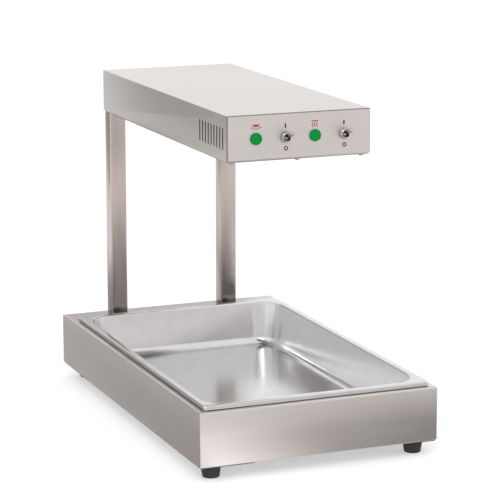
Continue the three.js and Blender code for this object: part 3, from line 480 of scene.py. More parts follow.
# a dark and a light tint, grains a metre, roughness and bump of each
platings = {
    "chrome": ("chromePlate", (0.36, 0.35, 0.35), (0.5, 0.49, 0.49), 300, 0.16, 0.02),
    "zinc": ("zincPlate", (0.34, 0.34, 0.345), (0.46, 0.46, 0.455), 500, 0.28, 0.05),
    "brass": ("tinnedBrass", (0.62, 0.52, 0.33), (0.75, 0.66, 0.46), 700, 0.3, 0.05),
    "filament": ("heatingCoil", (0.16, 0.13, 0.11), (0.3, 0.26, 0.23), 900, 0.4, 0.1),
}
mouldings = {
    "rubber": ("footRubber", (0.012, 0.012, 0.012), (0.025, 0.025, 0.026), 1500, 0.7, 0.2),
    "blackPlastic": ("blackNylon", (0.012, 0.012, 0.013), (0.022, 0.022, 0.024), 1800, 0.45, 0.15),
    "greyPlastic": ("greyPlastic", (0.5, 0.49, 0.44), (0.6, 0.59, 0.54), 900, 0.45, 0.12),
    "ceramic": ("steatite", (0.74, 0.7, 0.61), (0.84, 0.8, 0.72), 700, 0.55, 0.15),
    "silicone": ("siliconeMat", (0.32, 0.055, 0.02), (0.42, 0.08, 0.035), 600, 0.6, 0.3),
    "insulation": ("mineralBoard", (0.5, 0.45, 0.36), (0.68, 0.63, 0.53), 260, 0.9, 0.6, 0.0005),
    "redInk": ("redPrint", (0.3, 0.012, 0.012), (0.38, 0.02, 0.02), 900, 0.5, 0.02),
    "blackInk": ("blackPrint", (0.008, 0.008, 0.009), (0.016, 0.016, 0.017), 900, 0.5, 0.02),
}
for finish, values in platings.items():
    finishes[finish] = speckled(*values, metallic=1.0)
for finish, values in mouldings.items():
    finishes[finish] = speckled(*values)
print("materials ready:", len(finishes))


# Camera, light and floor

cameraLook = {"place": (-1.160, -2.893, 0.9023), "tilt": 77.96, "turn": -22.20, "lens": 160.9, "sensor": 36.0}
optics = bpy.data.cameras.new("camera")
optics.lens, optics.sensor_width = cameraLook["lens"], cameraLook["sensor"]
optics.clip_start, optics.clip_end = 0.05, 100.0
viewer = addObject("camera", optics)
viewer.location = cameraLook["place"]
viewer.rotation_euler = (radians(cameraLook["tilt"]), 0, radians(cameraLook["turn"]))
bpy.context.scene.camera = viewer

floorLook = {"half": 30.0, "dark": (0.6, 0.6, 0.6), "light": (0.62, 0.62, 0.62), "patches": 0.6, "glow": 0.4}
bm = bmesh.new()
bmesh.ops.create_grid(bm, x_segments=1, y_segments=1, size=floorLook["half"])
floorMesh = takeMesh(bm, "floor")
floorFinish = Finish("paleFloor", floorLook["light"], roughness=0.9)
floorFinish.shader.inputs["Emission Color"].default_value = (1, 1, 1, 1)
floorFinish.shader.inputs["Emission Strength"].default_value = floorLook["glow"]
floorStops = [(0.3, floorLook["dark"]), (0.7, floorLook["light"])]
floorTint = floorFinish.ramp(floorFinish.noise(floorLook["patches"]), floorStops)
floorMesh.materials.append(floorFinish.connect(Base_Color=floorTint))
addObject("floor", floorMesh)

skyLook = {"tint": (1.0, 0.995, 0.99), "strength": 1.1}
world = bpy.data.worlds.new("studio")
world.use_nodes = True
backdrop = world.node_tree.nodes["Background"]
backdrop.inputs["Color"].default_value = (*skyLook["tint"], 1)
backdrop.inputs["Strength"].default_value = skyLook["strength"]
bpy.context.scene.world = world
bpy.context.scene.view_settings.view_transform = "Standard"

keyLook = {"place": (-1.4, -2.2, 2.6), "aim": (0, -0.3, 0), "size": 1.8, "power": 24.0}
lamp = bpy.data.lights.new("keyBox", "AREA")
lamp.shape, lamp.size, lamp.energy = "SQUARE", keyLook["size"], keyLook["power"]
keyBox = addObject("keyBox", lamp)
keyBox.location = keyLook["place"]
aim = Vector(keyLook["aim"]) - Vector(keyLook["place"])
keyBox.rotation_euler = aim.to_track_quat("-Z", "Y").to_euler()

# Cards that only the steel's reflections see; each shade runs from one edge of the card to the other
cardLooks = {
    "frontCard": {
        "low": (-0.9, -0.62, 0.02), "high": (1.3, -0.62, 0.25), "along": "Z",
        "shades": ((0.0, (0.4, 0.38, 0.37)), (0.38, (1.4, 1.33, 1.3)), (0.55, (1.3, 1.22, 1.2)),
                   (0.75, (0.8, 0.76, 0.74)), (1.0, (0.5, 0.47, 0.46))),
    },
    "leftCard": {
        "low": (-0.75, -0.45, 0.002), "high": (-0.18, 0.95, 0.002), "along": "Y",
        "shades": ((0.0, (0.36, 0.34, 0.33)), (0.3, (0.48, 0.46, 0.45)), (1.0, (0.6, 0.58, 0.57))),
    },
    "farCard": {
        "low": (-1.6, 1.7, 0.002), "high": (-0.6, 2.4, 0.002), "along": "Y",
        "shades": ((0.0, (0.6, 0.58, 0.55)), (1.0, (0.38, 0.37, 0.35))),
    },
    "rightCard": {
        "low": (-0.14, -0.61, 0.002), "high": (0.40, -0.3, 0.002), "along": "X",
        "shades": ((0.0, (1.7, 1.64, 1.62)), (0.15, (1.1, 1.05, 1.03)), (0.35, (0.5, 0.48, 0.47)),
                   (1.0, (0.1, 0.095, 0.09))),
    },
    "rearCard": {
        "low": (-0.35, 0.96, 0.002), "high": (0.05, 1.6, 0.002), "along": "Y",
        "shades": ((0.0, (0.8, 0.77, 0.76)), (1.0, (1.0, 0.97, 0.96))),
    },
    "backCard": {
        "low": (-3.0, 2.42, 0.0), "high": (-0.55, 2.42, 2.2), "along": "X",
        "shades": ((0.0, (0.36, 0.35, 0.335)), (1.0, (0.42, 0.41, 0.395))),
    },
    "shelfCard": {
        "low": (-0.05, 1.0, 0.0), "high": (0.42, 1.0, 0.44), "along": "X",
        "shades": ((0.0, (0.55, 0.52, 0.51)), (1.0, (0.75, 0.73, 0.72))),
    },
}


def makeCard(name, look):
    low, high = Vector(look["low"]), Vector(look["high"])
    size = high - low
    bm = bmesh.new()
    bmesh.ops.create_grid(bm, x_segments=1, y_segments=1, size=0.5)
    if size.y < size.z:
        tipOver(bm, 90)
    bmesh.ops.scale(bm, vec=[length or 1 for length in size], verts=bm.verts)
    moveAll(bm, (low + high) / 2)
    mesh = takeMesh(bm, name)
    glow = Finish(name, (0, 0, 0), roughness=1.0)
    glow.shader.inputs["Specular IOR Level"].default_value = 0.0
    glow.shader.inputs["Emission Strength"].default_value = 1.0
    axis = "XYZ".index(look["along"])
    share = glow.spread(glow.parts(glow.place)[axis], 0, 1, low[axis], high[axis])
    mesh.materials.append(glow.connect(Emission_Color=glow.ramp(share, look["shades"])))
    card = addObject(name, mesh)
    for ray in ("camera", "diffuse", "transmission", "volume_scatter", "shadow"):
        setattr(card, "visible_" + ray, False)


for name, look in cardLooks.items():
    makeCard(name, look)
print("studio ready")


# Base housing: a folded box open below, with the rounded well opening in its top

housingLook = {
    "sheet": 0.0012, "bend": 0.0025, "bendSteps": 5, "innerSteps": 3, "edge": 0.0009, "return": 0.018,
    "wellCorner": 0.0378, "wellLip": 0.0003, "linerFlange": 0.006, "cornerSteps": 8,
}


def makeHousing(look):
    low, high, middle, half = boxOf("base_housing")
    _, _, linerMiddle, linerHalf = boxOf("well_liner")
    sheet, edge, lip, flange = look["sheet"], look["edge"], look["wellLip"], look["linerFlange"]
    outside = [(look["return"], low.z, edge), (edge, low.z, edge), (0, low.z + edge, edge)]
    outside += bendRows(0, high.z, look["bend"], edge, look["bendSteps"])
    inside = bendRows(sheet, high.z - sheet, look["bend"] - sheet, edge, look["innerSteps"])[::-1]
    inside += [(sheet, low.z + sheet, edge), (look["return"], low.z + sheet, edge)]

    def wallRings(rows):
        return [(half.x - inset, half.y - inset, level, corner, (0, 0)) for inset, level, corner in rows]

    well = [
        (linerHalf.x - flange + grow, linerHalf.y - flange + grow, level, look["wellCorner"],
         (0, linerMiddle.y - middle.y))
        for grow, level in ((lip, high.z), (0, high.z - lip), (0, high.z - sheet))
    ]
    bm = bmesh.new()
    loftRings(bm, wallRings(outside) + well + wallRings(inside), look["cornerSteps"], closed=True)
    moveAll(bm, (middle.x, middle.y, 0))
    makePiece(bm, "housingShell", "brushed", ["base_housing"])


makeHousing(housingLook)
print("base housing made")


# Pan: pressed in one piece, from the flat floor up its drafted walls to the rolled rim

panLook = {
    "sheet": 0.0008, "rim": 0.010, "hem": 0.0058, "draft": 0.0085, "floorRadius": 0.012, "mouthRoll": 0.0026,
    "rimRoll": 0.0018, "rollSteps": 6, "mouthCorner": 0.040, "rimCorner": 0.004, "cornerSteps": 12,
}


def roundedPath(corners, steps):
    # points along a bent path; each corner is (x, y, radius)
    points = []
    for i, (x, y, radius) in enumerate(corners):
        here = Vector((x, y))
        if not radius:
            points.append(here)
            continue
        before = (Vector(corners[i - 1][:2]) - here).normalized()
        after = (Vector(corners[i + 1][:2]) - here).normalized()
        half = before.angle(after) / 2
        centre = here + (before + after).normalized() * (radius / sin(half))
        reach = radius * cos(half) / sin(half)
        start, end = here + before * reach - centre, here + after * reach - centre
        sweep = start.angle_signed(end)
        for k in range(steps + 1):
            points.append(centre + Matrix.Rotation(-sweep * k / steps, 2) @ start)
    return points


def offsetPath(points, distance):
    moved = []
    for i, here in enumerate(points):
        before = (here - points[i - 1]).normalized() if i else (points[1] - here).normalized()
        after = (points[i + 1] - here).normalized() if i < len(points) - 1 else before
        along = (before + after).normalized()
        moved.append(here + Vector((-along.y, along.x)) * (distance / along.dot(before)))
    return moved


def makePan(look):
    low, high, middle, half = boxOf("gn_pan")
    rim, draft, floorLevel = look["rim"], look["draft"], low.z + look["sheet"]
    path = roundedPath([
        (rim + draft + 2 * look["floorRadius"], floorLevel, 0),
        (rim + draft, floorLevel, look["floorRadius"]),
        (rim, high.z, look["mouthRoll"]), (0, high.z, look["rimRoll"]), (0, high.z - look["hem"], 0),
    ], look["rollSteps"])

    def cornerAt(inset):
        if inset < rim:
            return look["rimCorner"] + (look["mouthCorner"] - look["rimCorner"]) * max(inset, 0) / rim
        return look["mouthCorner"] + rim - inset

    rows = [(point.x, point.y, cornerAt(point.x)) for point in path + offsetPath(path, look["sheet"])[::-1]]
    bm = bmesh.new()
    loftTray(bm, rows, (half.x, half.y), look["cornerSteps"], centre=(middle.x, middle.y))
    makePiece(bm, "panShell", "pan", ["gn_pan"], body="pan")


makePan(panLook)
print("pan made")


# Posts: square tube with rounded corners

postLook = {"wall": 0.0015, "corner": 0.0026, "cornerSteps": 6}


def makePost(side, look):
    low, high, middle, half = boxOf("post_" + side)
    wall, corner = look["wall"], look["corner"]
    rows = [
        (0, low.z, corner), (0, high.z, corner), (wall, high.z, corner - wall), (wall, low.z, corner - wall),
    ]
    bm = bmesh.new()
    loftTray(bm, rows, (half.x, half.y), look["cornerSteps"], closed=True, centre=(middle.x, middle.y))
    makePiece(bm, "tube_" + side, "post", ["post_" + side])


for side in sides:
    makePost(side, postLook)
print("posts made")


# Head cover: a folded box open below, with vents in both sides

coverLook = {
    "sheet": 0.001, "bend": 0.0018, "bendSteps": 5, "innerSteps": 3, "edge": 0.0008, "return": 0.012,
    "cornerSteps": 4, "vents": 9, "ventFirst": 0.0154, "ventPitch": 0.01045, "ventWidth": 0.0035,
    "ventHeight": 0.029, "ventCorner": 0.0014, "ventLevel": 0.0294, "overrun": 0.01,
}


def makeCover(look):
    low, high, middle, half = boxOf("head_cover")
    sheet, edge = look["sheet"], look["edge"]
    rows = bendRows(0, high.z, look["bend"], edge, look["bendSteps"])[::-1]
    rows += [(0, low.z + edge, edge), (edge, low.z, edge), (look["return"], low.z, edge)]
    rows += [(look["return"], low.z + sheet, edge), (sheet, low.z + sheet, edge)]
    rows += bendRows(sheet, high.z - sheet, look["bend"] - sheet, edge, look["innerSteps"])
    bm = bmesh.new()
    loftTray(bm, rows, (half.x, half.y), look["cornerSteps"], centre=(middle.x, middle.y))
    cover = makePiece(bm, "headShell", "cover", ["head_cover"])
    slots = bmesh.new()
    upright = Matrix.Rotation(radians(90), 3, "Y") @ Matrix.Rotation(radians(90), 3, "Z")
    reach = half.x + look["overrun"]
    for i in range(look["vents"]):
        before = set(slots.verts)
        face = addRing(slots, look["ventWidth"] / 2, look["ventHeight"] / 2, -reach, look["ventCorner"],
                       look["cornerSteps"])
        pullFaces(slots, [face], (0, 0, 2 * reach))
        made = addedSince(slots, before)
        bmesh.ops.rotate(slots, cent=(0, 0, 0), matrix=upright, verts=made)
        place = (0, panelFront + look["ventFirst"] + i * look["ventPitch"], low.z + look["ventLevel"])
        bmesh.ops.translate(slots, vec=place, verts=made)
    cutAway(cover, slots)


makeCover(coverLook)
print("head cover made")


# Front panel: a thin plate with its edges just broken

fasciaLook = {"corner": 0.0015, "edge": 0.0003, "cornerSteps": 4}


def makeFascia(look):
    _, _, middle, half = boxOf("front_fascia")
    corner, edge = look["corner"], look["edge"]
    rows = [(0, -half.y, corner), (0, half.y - edge, corner), (edge, half.y, corner - edge)]
    bm = bmesh.new()
    loftTray(bm, rows, (half.x, half.z), look["cornerSteps"])
    faceFront(bm)
    moveAll(bm, middle)
    makePiece(bm, "fasciaPlate", "fascia", ["front_fascia"])


makeFascia(fasciaLook)
print("front panel made")


# Indicators and switches

signalLook = {
    "stem": 0.0046, "seat": 0.0003, "steps": 48,
    # the face, as (radius, depth below its crown)
    "face": ((0.0081, 0.0012), (0.0079, 0.0007), (0.00756, 0.0004), (0.0072, 0.00055), (0.00693, 0.0006),
             (0.00486, 0.00025), (0.00243, 0.00005), (0, 0)),
}


def makeLens(side, look):
    low, high, middle, _ = boxOf("indicator_lens_" + side)
    crown, back, stem, seat = panelFront - low.y, panelFront - high.y, look["stem"], look["seat"]
    profile = [(0, back), (stem, back), (stem, seat), (look["face"][0][0], seat)]
    profile += [(radius, crown - depth) for radius, depth in look["face"]]
    bm = bmesh.new()
    turnProfile(bm, profile, look["steps"])
    faceFront(bm)
    moveAll(bm, (middle.x, panelFront, middle.z))
    makePiece(bm, "lens_" + side, "lens", ["indicator_lens_" + side])


bushLook = {
    "radius": 0.006, "bore": 0.0046, "mouth": 0.0004, "pitch": 0.0008, "threadDepth": 0.0004, "behind": 0.002,
    "steps": 32, "crease": 25,
}
nutLook = {
    "bore": 0.0062, "boreSteps": 24, "across": 0.014, "chamfer": 0.0007, "washer": 0.0007,
    "washerRadius": 0.008, "washerEdge": 0.0004, "washerFlat": 0.6, "teeth": 36, "toothShare": 0.94,
}


def makeNut(side, look):
    # a hexagon with its front edges broken, over a washer whose rim is toothed
    low, high, middle, _ = boxOf("switch_nut_" + side)
    bore, washer, rim, teeth = look["bore"], look["washer"], look["washerRadius"], look["teeth"]
    thick = high.y - low.y
    bm = bmesh.new()
    hexagon = look["across"] / 2 / cos(pi / 6)
    rings = addCircle(bm, hexagon, 6) + addCircle(bm, bore, look["boreSteps"])
    faces = bmesh.ops.bridge_loops(bm, edges=edgesOf(rings))["faces"]
    pullFaces(bm, faces, (0, 0, thick - washer))
    moveAll(bm, (0, 0, washer))
    frontEdges = [
        edge for edge in bm.edges
        if all(abs(v.co.z - thick) < weld and v.co.xy.length > bore * 1.1 for v in edge.verts)
    ]
    roundOff(bm, frontEdges, look["chamfer"], 2)
    before = set(bm.verts)
    turned = bmesh.new()
    turnProfile(turned, [
        (bore, 0), (rim, 0), (rim, washer * look["washerFlat"]), (rim - look["washerEdge"], washer),
        (bore, washer),
    ], teeth)
    extra = takeMesh(turned, "washer")
    bm.from_mesh(extra)
    bpy.data.meshes.remove(extra)
    for vert in addedSince(bm, before):
        turn = round(Vector((1, 0)).angle_signed(vert.co.xy) / (2 * pi / teeth))
        if turn % 2 and vert.co.xy.length > rim - 0.0001:
            vert.co.xy *= look["toothShare"]
    faceFront(bm)
    moveAll(bm, (middle.x, high.y, middle.z))
    makePiece(bm, "nut_" + side, "chrome", ["switch_nut_" + side])


def makeBush(side, look):
    # the threaded bush of the switch, from its case out through the panel
    low, _, middle, _ = boxOf("switch_body_" + side)
    front, radius, bore, pitch, mouth = low.y, look["radius"], look["bore"], look["pitch"], look["mouth"]
    length = panelFront - front
    root = radius - look["threadDepth"]
    profile = [(bore, -length - look["behind"]), (bore, -mouth), (bore + mouth, 0), (root, 0)]
    for i in range(int(length / pitch)):
        crest = -(i + 0.5) * pitch
        profile += [(radius, crest), (root, crest - pitch / 2)]
    profile += [(root, -length), (root, -length - look["behind"])]
    bm = bmesh.new()
    turnProfile(bm, profile, look["steps"])
    faceFront(bm)
    moveAll(bm, (middle.x, front, middle.z))
    makePiece(bm, "bush_" + side, "chrome", crease=look["crease"])


switchLook = {
    "front": 0.0026, "depth": 0.018, "caseEdge": 0.0007, "sheet": 0.0007, "sheetEdge": 0.0002,
    "sheetDrop": 0.009, "cheekX": 0.007, "cheekZ": 0.015, "rivet": 0.0011, "rivetHigh": 0.0105,
    "rivetBack": 0.006, "rivetLong": 0.0012, "rivetSteps": 16, "tabWide": 0.0063, "tabThick": 0.0008,
    "tabSpread": 0.008, "tabRoot": 0.001, "tabEdge": 0.0003, "eye": 0.0012, "eyeBack": 0.0025,
    "eyeReach": 0.002, "eyeSteps": 20,
}


def makeSwitch(side, look):
    # a moulded case in a pressed frame, with three lugs behind
    low, high, middle, _ = boxOf("switch_body_" + side)
    start = panelFront + look["front"]
    end = start + look["depth"]
    sheet, edge, x, z = look["sheet"], look["sheetEdge"], look["cheekX"], look["cheekZ"]
    case = bmesh.new()
    caseLow = (low.x + sheet, start + sheet, low.z + sheet)
    addBlock(case, caseLow, (high.x - sheet, end, high.z - sheet), look["caseEdge"])
    makePiece(case, "case_" + side, "greyPlastic", ["switch_body_" + side])
    saddle = bmesh.new()
    near, far = start + sheet, start + look["sheetDrop"]
    addBlock(saddle, (low.x, start, low.z), (high.x, near, high.z), edge)
    for way in (-1, 1):
        outer, inner = middle.x + way * x, middle.x + way * (x - sheet)
        addBlock(saddle, (outer, near, low.z), (inner, far, high.z), edge)
        addBlock(saddle, (low.x, near, middle.z + way * z), (high.x, far, middle.z + way * (z - sheet)), edge)
        for rise in (-1, 1):
            spot = Vector((outer, start + look["rivetBack"], middle.z + rise * look["rivetHigh"]))
            inward = Vector((-way * look["rivetLong"], 0, 0))
            addRod(saddle, look["rivet"], spot, spot + inward, look["rivetSteps"])
    makePiece(saddle, "saddle_" + side, "zinc")
    lugs, eyes = bmesh.new(), bmesh.new()
    thick, wide, reach = look["tabThick"] / 2, look["tabWide"] / 2, Vector((look["eyeReach"], 0, 0))
    for row in (-1, 0, 1):
        level = middle.z + row * look["tabSpread"]
        root = (middle.x - thick, end - look["tabRoot"], level - wide)
        addBlock(lugs, root, (middle.x + thick, high.y, level + wide), look["tabEdge"])
        spot = Vector((middle.x, high.y - look["eyeBack"], level))
        addRod(eyes, look["eye"], spot - reach, spot + reach, look["eyeSteps"])
    cutAway(makePiece(lugs, "lugs_" + side, "brass"), eyes)


leverLook = {
    "tilt": 20.0, "ball": 0.0042, "ballSteps": 14, "neck": 0.0019, "neckEnd": 0.0075, "tip": 0.0031,
    "length": 0.0235, "curveSteps": 8, "tail": 0.0075, "tailRadius": 0.0013, "tailEdge": 0.0004,
    "tailTip": 0.7, "pivot": 0.001, "steps": 28,
}


def makeLever(side, look):
    # a ball with a tail behind it and a bat in front, which swells to a round tip
    _, _, middle, _ = boxOf("toggle_lever_" + side)
    pivot = (middle.x, panelFront - look["pivot"], boxOf("indicator_lens_" + side)[2].z)
    ball, neck, tip, tail = look["ball"], look["neck"], look["tip"], look["tailRadius"]
    steps, length, neckEnd, back = look["curveSteps"], look["length"], look["neckEnd"], -look["tail"]
    profile = [(0, back), (tail * look["tailTip"], back), (tail, back + look["tailEdge"])]
    start = -asin(sqrt(1 - (tail / ball) ** 2))
    end = asin(sqrt(1 - (neck / ball) ** 2))
    for i in range(look["ballSteps"] + 1):
        angle = start + (end - start) * i / look["ballSteps"]
        profile.append((ball * cos(angle), ball * sin(angle)))
    for i in range(1, steps + 1):
        share = i / steps
        ease = share * share * (3 - 2 * share)
        profile.append((neck + (tip - neck) * ease, neckEnd + (length - 2 * tip - neckEnd) * share))
    for i in range(1, steps + 1):
        angle = i / steps * pi / 2
        profile.append((tip * cos(angle), length - tip + tip * sin(angle)))
    profile[-1] = (0, length)
    bm = bmesh.new()
    turnProfile(bm, profile, look["steps"])
    tipOver(bm, 90 - look["tilt"])
    moveAll(bm, pivot)
    makePiece(
        bm, "lever_" + side + "_bat", "chrome", ["toggle_lever_" + side], body="lever_" + side,
    )


for side in sides:
    makeLens(side, signalLook)
    makeNut(side, nutLook)
    makeBush(side, bushLook)
    makeSwitch(side, switchLook)
    makeLever(side, leverLook)
print("controls made")


# Feet: moulded rubber with a soft edge and a screw recess below

footLook = {
    "top": 0.0138, "topDrop": 0.0012, "topEdge": 0.0004, "sole": 0.0116, "edge": 0.0016, "recess": 0.0065,
    "recessDepth": 0.006, "mouth": 0.0004, "hole": 0.0028, "steps": 48, "crease": 50,
}


def makeFoot(name, look):
    _, high, middle, _ = boxOf("foot_" + name)
    top, sole, edge, recess, mouth = look["top"], look["sole"], look["edge"], look["recess"], look["mouth"]
    profile = [
        (look["hole"], look["recessDepth"]), (recess, look["recessDepth"]), (recess, mouth),
        (recess + mouth, 0), (sole - edge, 0), (sole - edge * 0.3, edge * 0.3), (sole, edge),
        (top, high.z - look["topDrop"]),
        (top, high.z - look["topEdge"]), (top - look["topEdge"], high.z), (look["hole"], high.z),
    ]
    bm = bmesh.new()
    turnProfile(bm, profile, look["steps"])
    moveAll(bm, (middle.x, middle.y, 0))
    makePiece(bm, "rubber_" + name, "rubber", ["foot_" + name], crease=look["crease"])


for end in ends:
    for side in sides:
        makeFoot(end + "_" + side, footLook)
print("feet made")


# Screws: a domed head with a cross recess, made once for each size and copied to its places

screwLook = {
    "recessWide": 0.0009, "recessReach": 0.52, "recessDeep": 0.0013, "pointEdge": 0.0004, "steps": 28,
    "dome": ((0.45, 0.96), (0.75, 0.78), (0.95, 0.42), (1, 0.12), (1, 0)),  # shares of its radius and height
}
screwSizes = {
    "large": {"radius": 0.0046, "height": 0.0026, "shank": 0.0025},
    "small": {"radius": 0.004, "height": 0.0023, "shank": 0.002},
}
screwTurns = {"up": Matrix.Rotation(pi, 3, "X"), "back": Matrix.Rotation(-pi / 2, 3, "X")}


def cutCross(screw, size, look):
    # one bar after the other, since two that overlap can confuse the cut
    wide, reach = look["recessWide"] / 2, size["radius"] * look["recessReach"]
    for long, narrow in ((reach, wide), (wide, reach)):
        bar = bmesh.new()
        foot = (-long, -narrow, size["height"] - look["recessDeep"])
        addBlock(bar, foot, (long, narrow, 2 * size["height"]))
        cutAway(screw, bar)


def placeScrews(nodes, way, size, look):
    # the first screw is cut and kept; the others copy its mesh, moved to their own places
    low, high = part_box(nodes[0])
    length = high.z - low.z if way == "up" else high.y - low.y
    radius, height, shank = size["radius"], size["height"], size["shank"]
    profile = [(0, height)] + [(radius * out, height * up) for out, up in look["dome"]]
    profile += [
        (shank, 0), (shank, height - length + look["pointEdge"]),
        (shank - look["pointEdge"], height - length), (0, height - length),
    ]
    bm = bmesh.new()
    turnProfile(bm, profile, look["steps"])
    model = makePiece(bm, "screwModel", "zinc")
    cutCross(model, size, look)
    for node in nodes:
        low, high, middle, _ = boxOf(node)
        headEnd = (middle.x, middle.y, low.z) if way == "up" else (middle.x, high.y, middle.z)
        copy = bmesh.new()
        copy.from_mesh(model.data)
        moveAll(copy, (0, 0, -height))
        bmesh.ops.rotate(copy, cent=(0, 0, 0), matrix=screwTurns[way], verts=copy.verts)
        moveAll(copy, headEnd)
        makePiece(copy, "fixing_" + node, "zinc", [node], tidy=False)
    bpy.data.objects.remove(model)


for part in ("base", "head"):
    postScrews = [f"{part}_post_screw_{side}_{row}" for side in sides for row in ("lower", "upper")]
    placeScrews(postScrews, "back", screwSizes["large"], screwLook)
traySpots = ("front_left", "front_centre", "front_right", "rear_left", "rear_right")
placeScrews(["tray_screw_" + spot for spot in traySpots], "up", screwSizes["small"], screwLook)
footScrews = [f"foot_screw_{end}_{side}" for end in ends for side in sides]
placeScrews(footScrews, "up", screwSizes["large"], screwLook)
print("screws made")


# Reflector: two parabolic troughs rolled in one sheet

reflectorLook = {
    "sheet": 0.0008, "flange": 0.008, "width": 0.154, "lampSpacing": 0.070, "focus": 0.012, "steps": 48,
    "crease": 40,
}


def makeReflector(look):
    low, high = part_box("reflector")
    half, spacing, focus = look["width"] / 2, look["lampSpacing"] / 2, look["focus"]
    brim = low.z + look["sheet"]
    top = brim + (half - spacing) ** 2 / (4 * focus)
    path = [Vector((-half - look["flange"], brim))]
    for i in range(look["steps"] + 1):
        x = -half + look["width"] * i / look["steps"]
        path.append(Vector((x, top - (abs(x) - spacing) ** 2 / (4 * focus))))
    path.append(Vector((half + look["flange"], brim)))
    under = offsetPath(path, -look["sheet"])
    bm = bmesh.new()
    sheet = bm.faces.new([bm.verts.new((point.x, low.y, point.y)) for point in path + under[::-1]])
    pullFaces(bm, [sheet], (0, high.y - low.y, 0))
    makePiece(bm, "troughSheet", "aluminium", ["reflector"], crease=look["crease"])


makeReflector(reflectorLook)
print("reflector made")


# Quartz tubes with a wound heating coil inside each

tubeLook = {
    "wall": 0.0011, "steps": 32, "coilRadius": 0.0026, "wireRadius": 0.00035, "wireSteps": 5, "pitch": 0.0024,
    "coilSteps": 10, "coilShort": 0.03, "coilCrease": 60,
}


def makeTube(side, look):
    low, high, middle, half = boxOf("heater_tube_" + side)
    radius, length, pitch = half.x, high.y - low.y, look["pitch"]
    inner = radius - look["wall"]
    bm = bmesh.new()
    turnProfile(bm, [(inner, 0), (radius, 0), (radius, length), (inner, length)], look["steps"])
    faceBack(bm)
    moveAll(bm, (middle.x, low.y, middle.z))
    makePiece(bm, "quartz_" + side, "quartz", ["heater_tube_" + side])
    coil = bmesh.new()
    place = Matrix.Translation((look["coilRadius"], 0, 0)) @ Matrix.Rotation(pi / 2, 4, "X")
    addCircle(coil, look["wireRadius"], look["wireSteps"], place, filled=True)
    turns = int((length - look["coilShort"]) / pitch)
    section = [*coil.verts, *coil.edges, *coil.faces]
    steps = look["coilSteps"]
    spinRound(coil, section, 2 * pi * turns, turns * steps, rise=pitch / steps)
    faceBack(coil)
    moveAll(coil, (middle.x, middle.y - turns * pitch / 2, middle.z))
    makePiece(coil, "coil_" + side, "filament", crease=look["coilCrease"])


for side in sides:
    makeTube(side, tubeLook)
print("lamps made")


# Wire guard: two bent rails, cross wires welded on below and one wire along the middle

guardLook = {
    "rail": 0.002, "railGap": 0.0003, "bend": 0.0024, "bendSteps": 6, "overhang": 0.004, "wire": 0.0015,
    "wireEdge": 0.0004, "weld": 0.0008, "endGap": 0.010, "spans": 10, "steps": 16, "crease": 50,
}


def makeRail(bm, x, level, front, rear, top, look):
    # straight, then turned up at both ends by a quarter spin
    place = Matrix.Translation((x, front, level)) @ Matrix.Rotation(pi / 2, 4, "X")
    near = edgesOf(addCircle(bm, look["rail"], look["steps"], place))
    far = pullLoop(bm, near, (0, rear - front, 0))
    for loop, y, way in ((near, front, -1), (far, rear, 1)):
        verts = list({vert for edge in loop for vert in edge.verts})
        centre = (x, y, level + look["bend"])
        turned = spinRound(bm, verts + loop, way * pi / 2, look["bendSteps"], centre, (1, 0, 0))
        turnedEdges = [item for item in turned if isinstance(item, bmesh.types.BMEdge)]
        cap = pullLoop(bm, turnedEdges, (0, 0, top - level - look["bend"]))
        bmesh.ops.contextual_create(bm, geom=cap)


def makeGuard(look):
    low, high, middle, _ = boxOf("wire_guard")
    reflectorHalf = boxOf("reflector")[3].y
    rail, wire, bend, steps, edge = look["rail"], look["wire"], look["bend"], look["steps"], look["wireEdge"]
    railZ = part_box("head_tray")[0].z - look["railGap"] - rail
    reach = reflectorHalf + look["overhang"] - bend
    bm = bmesh.new()
    for way in sides.values():
        railX = way * (high.x - wire - rail)
        makeRail(bm, railX, railZ, middle.y - reach, middle.y + reach, high.z, look)
    crossZ = railZ - rail - wire + look["weld"]
    pitch = 2 * (reflectorHalf - look["endGap"]) / look["spans"]
    for i in range(look["spans"] + 1):
        y = middle.y + (i - look["spans"] / 2) * pitch
        addRod(bm, wire, (low.x, y, crossZ), (high.x, y, crossZ), steps, edge)
    alongZ = crossZ + 2 * wire - look["weld"]
    halfLong = look["spans"] * pitch / 2 + 2 * wire
    addRod(bm, wire, (0, middle.y - halfLong, alongZ), (0, middle.y + halfLong, alongZ), steps, edge)
    makePiece(bm, "guardWires", "chrome", ["wire_guard"], crease=look["crease"])


makeGuard(guardLook)
print("guard made")


# Cable gland: flange, ribbed dome nut and an open bore

glandLook = {
    "bore": 0.0042, "thread": 0.008, "flange": 0.013, "flangeThick": 0.003, "flangeEdge": 0.0004,
    "seat": 0.0003, "nut": 0.0115, "nutGap": 0.0015, "nose": 0.0072, "tip": 0.006, "mouth": 0.0006,
    "ribs": 24, "rib": 0.0004, "ribEnd": 0.62, "domeEnd": 0.8,  # the last two are shares of the length
}


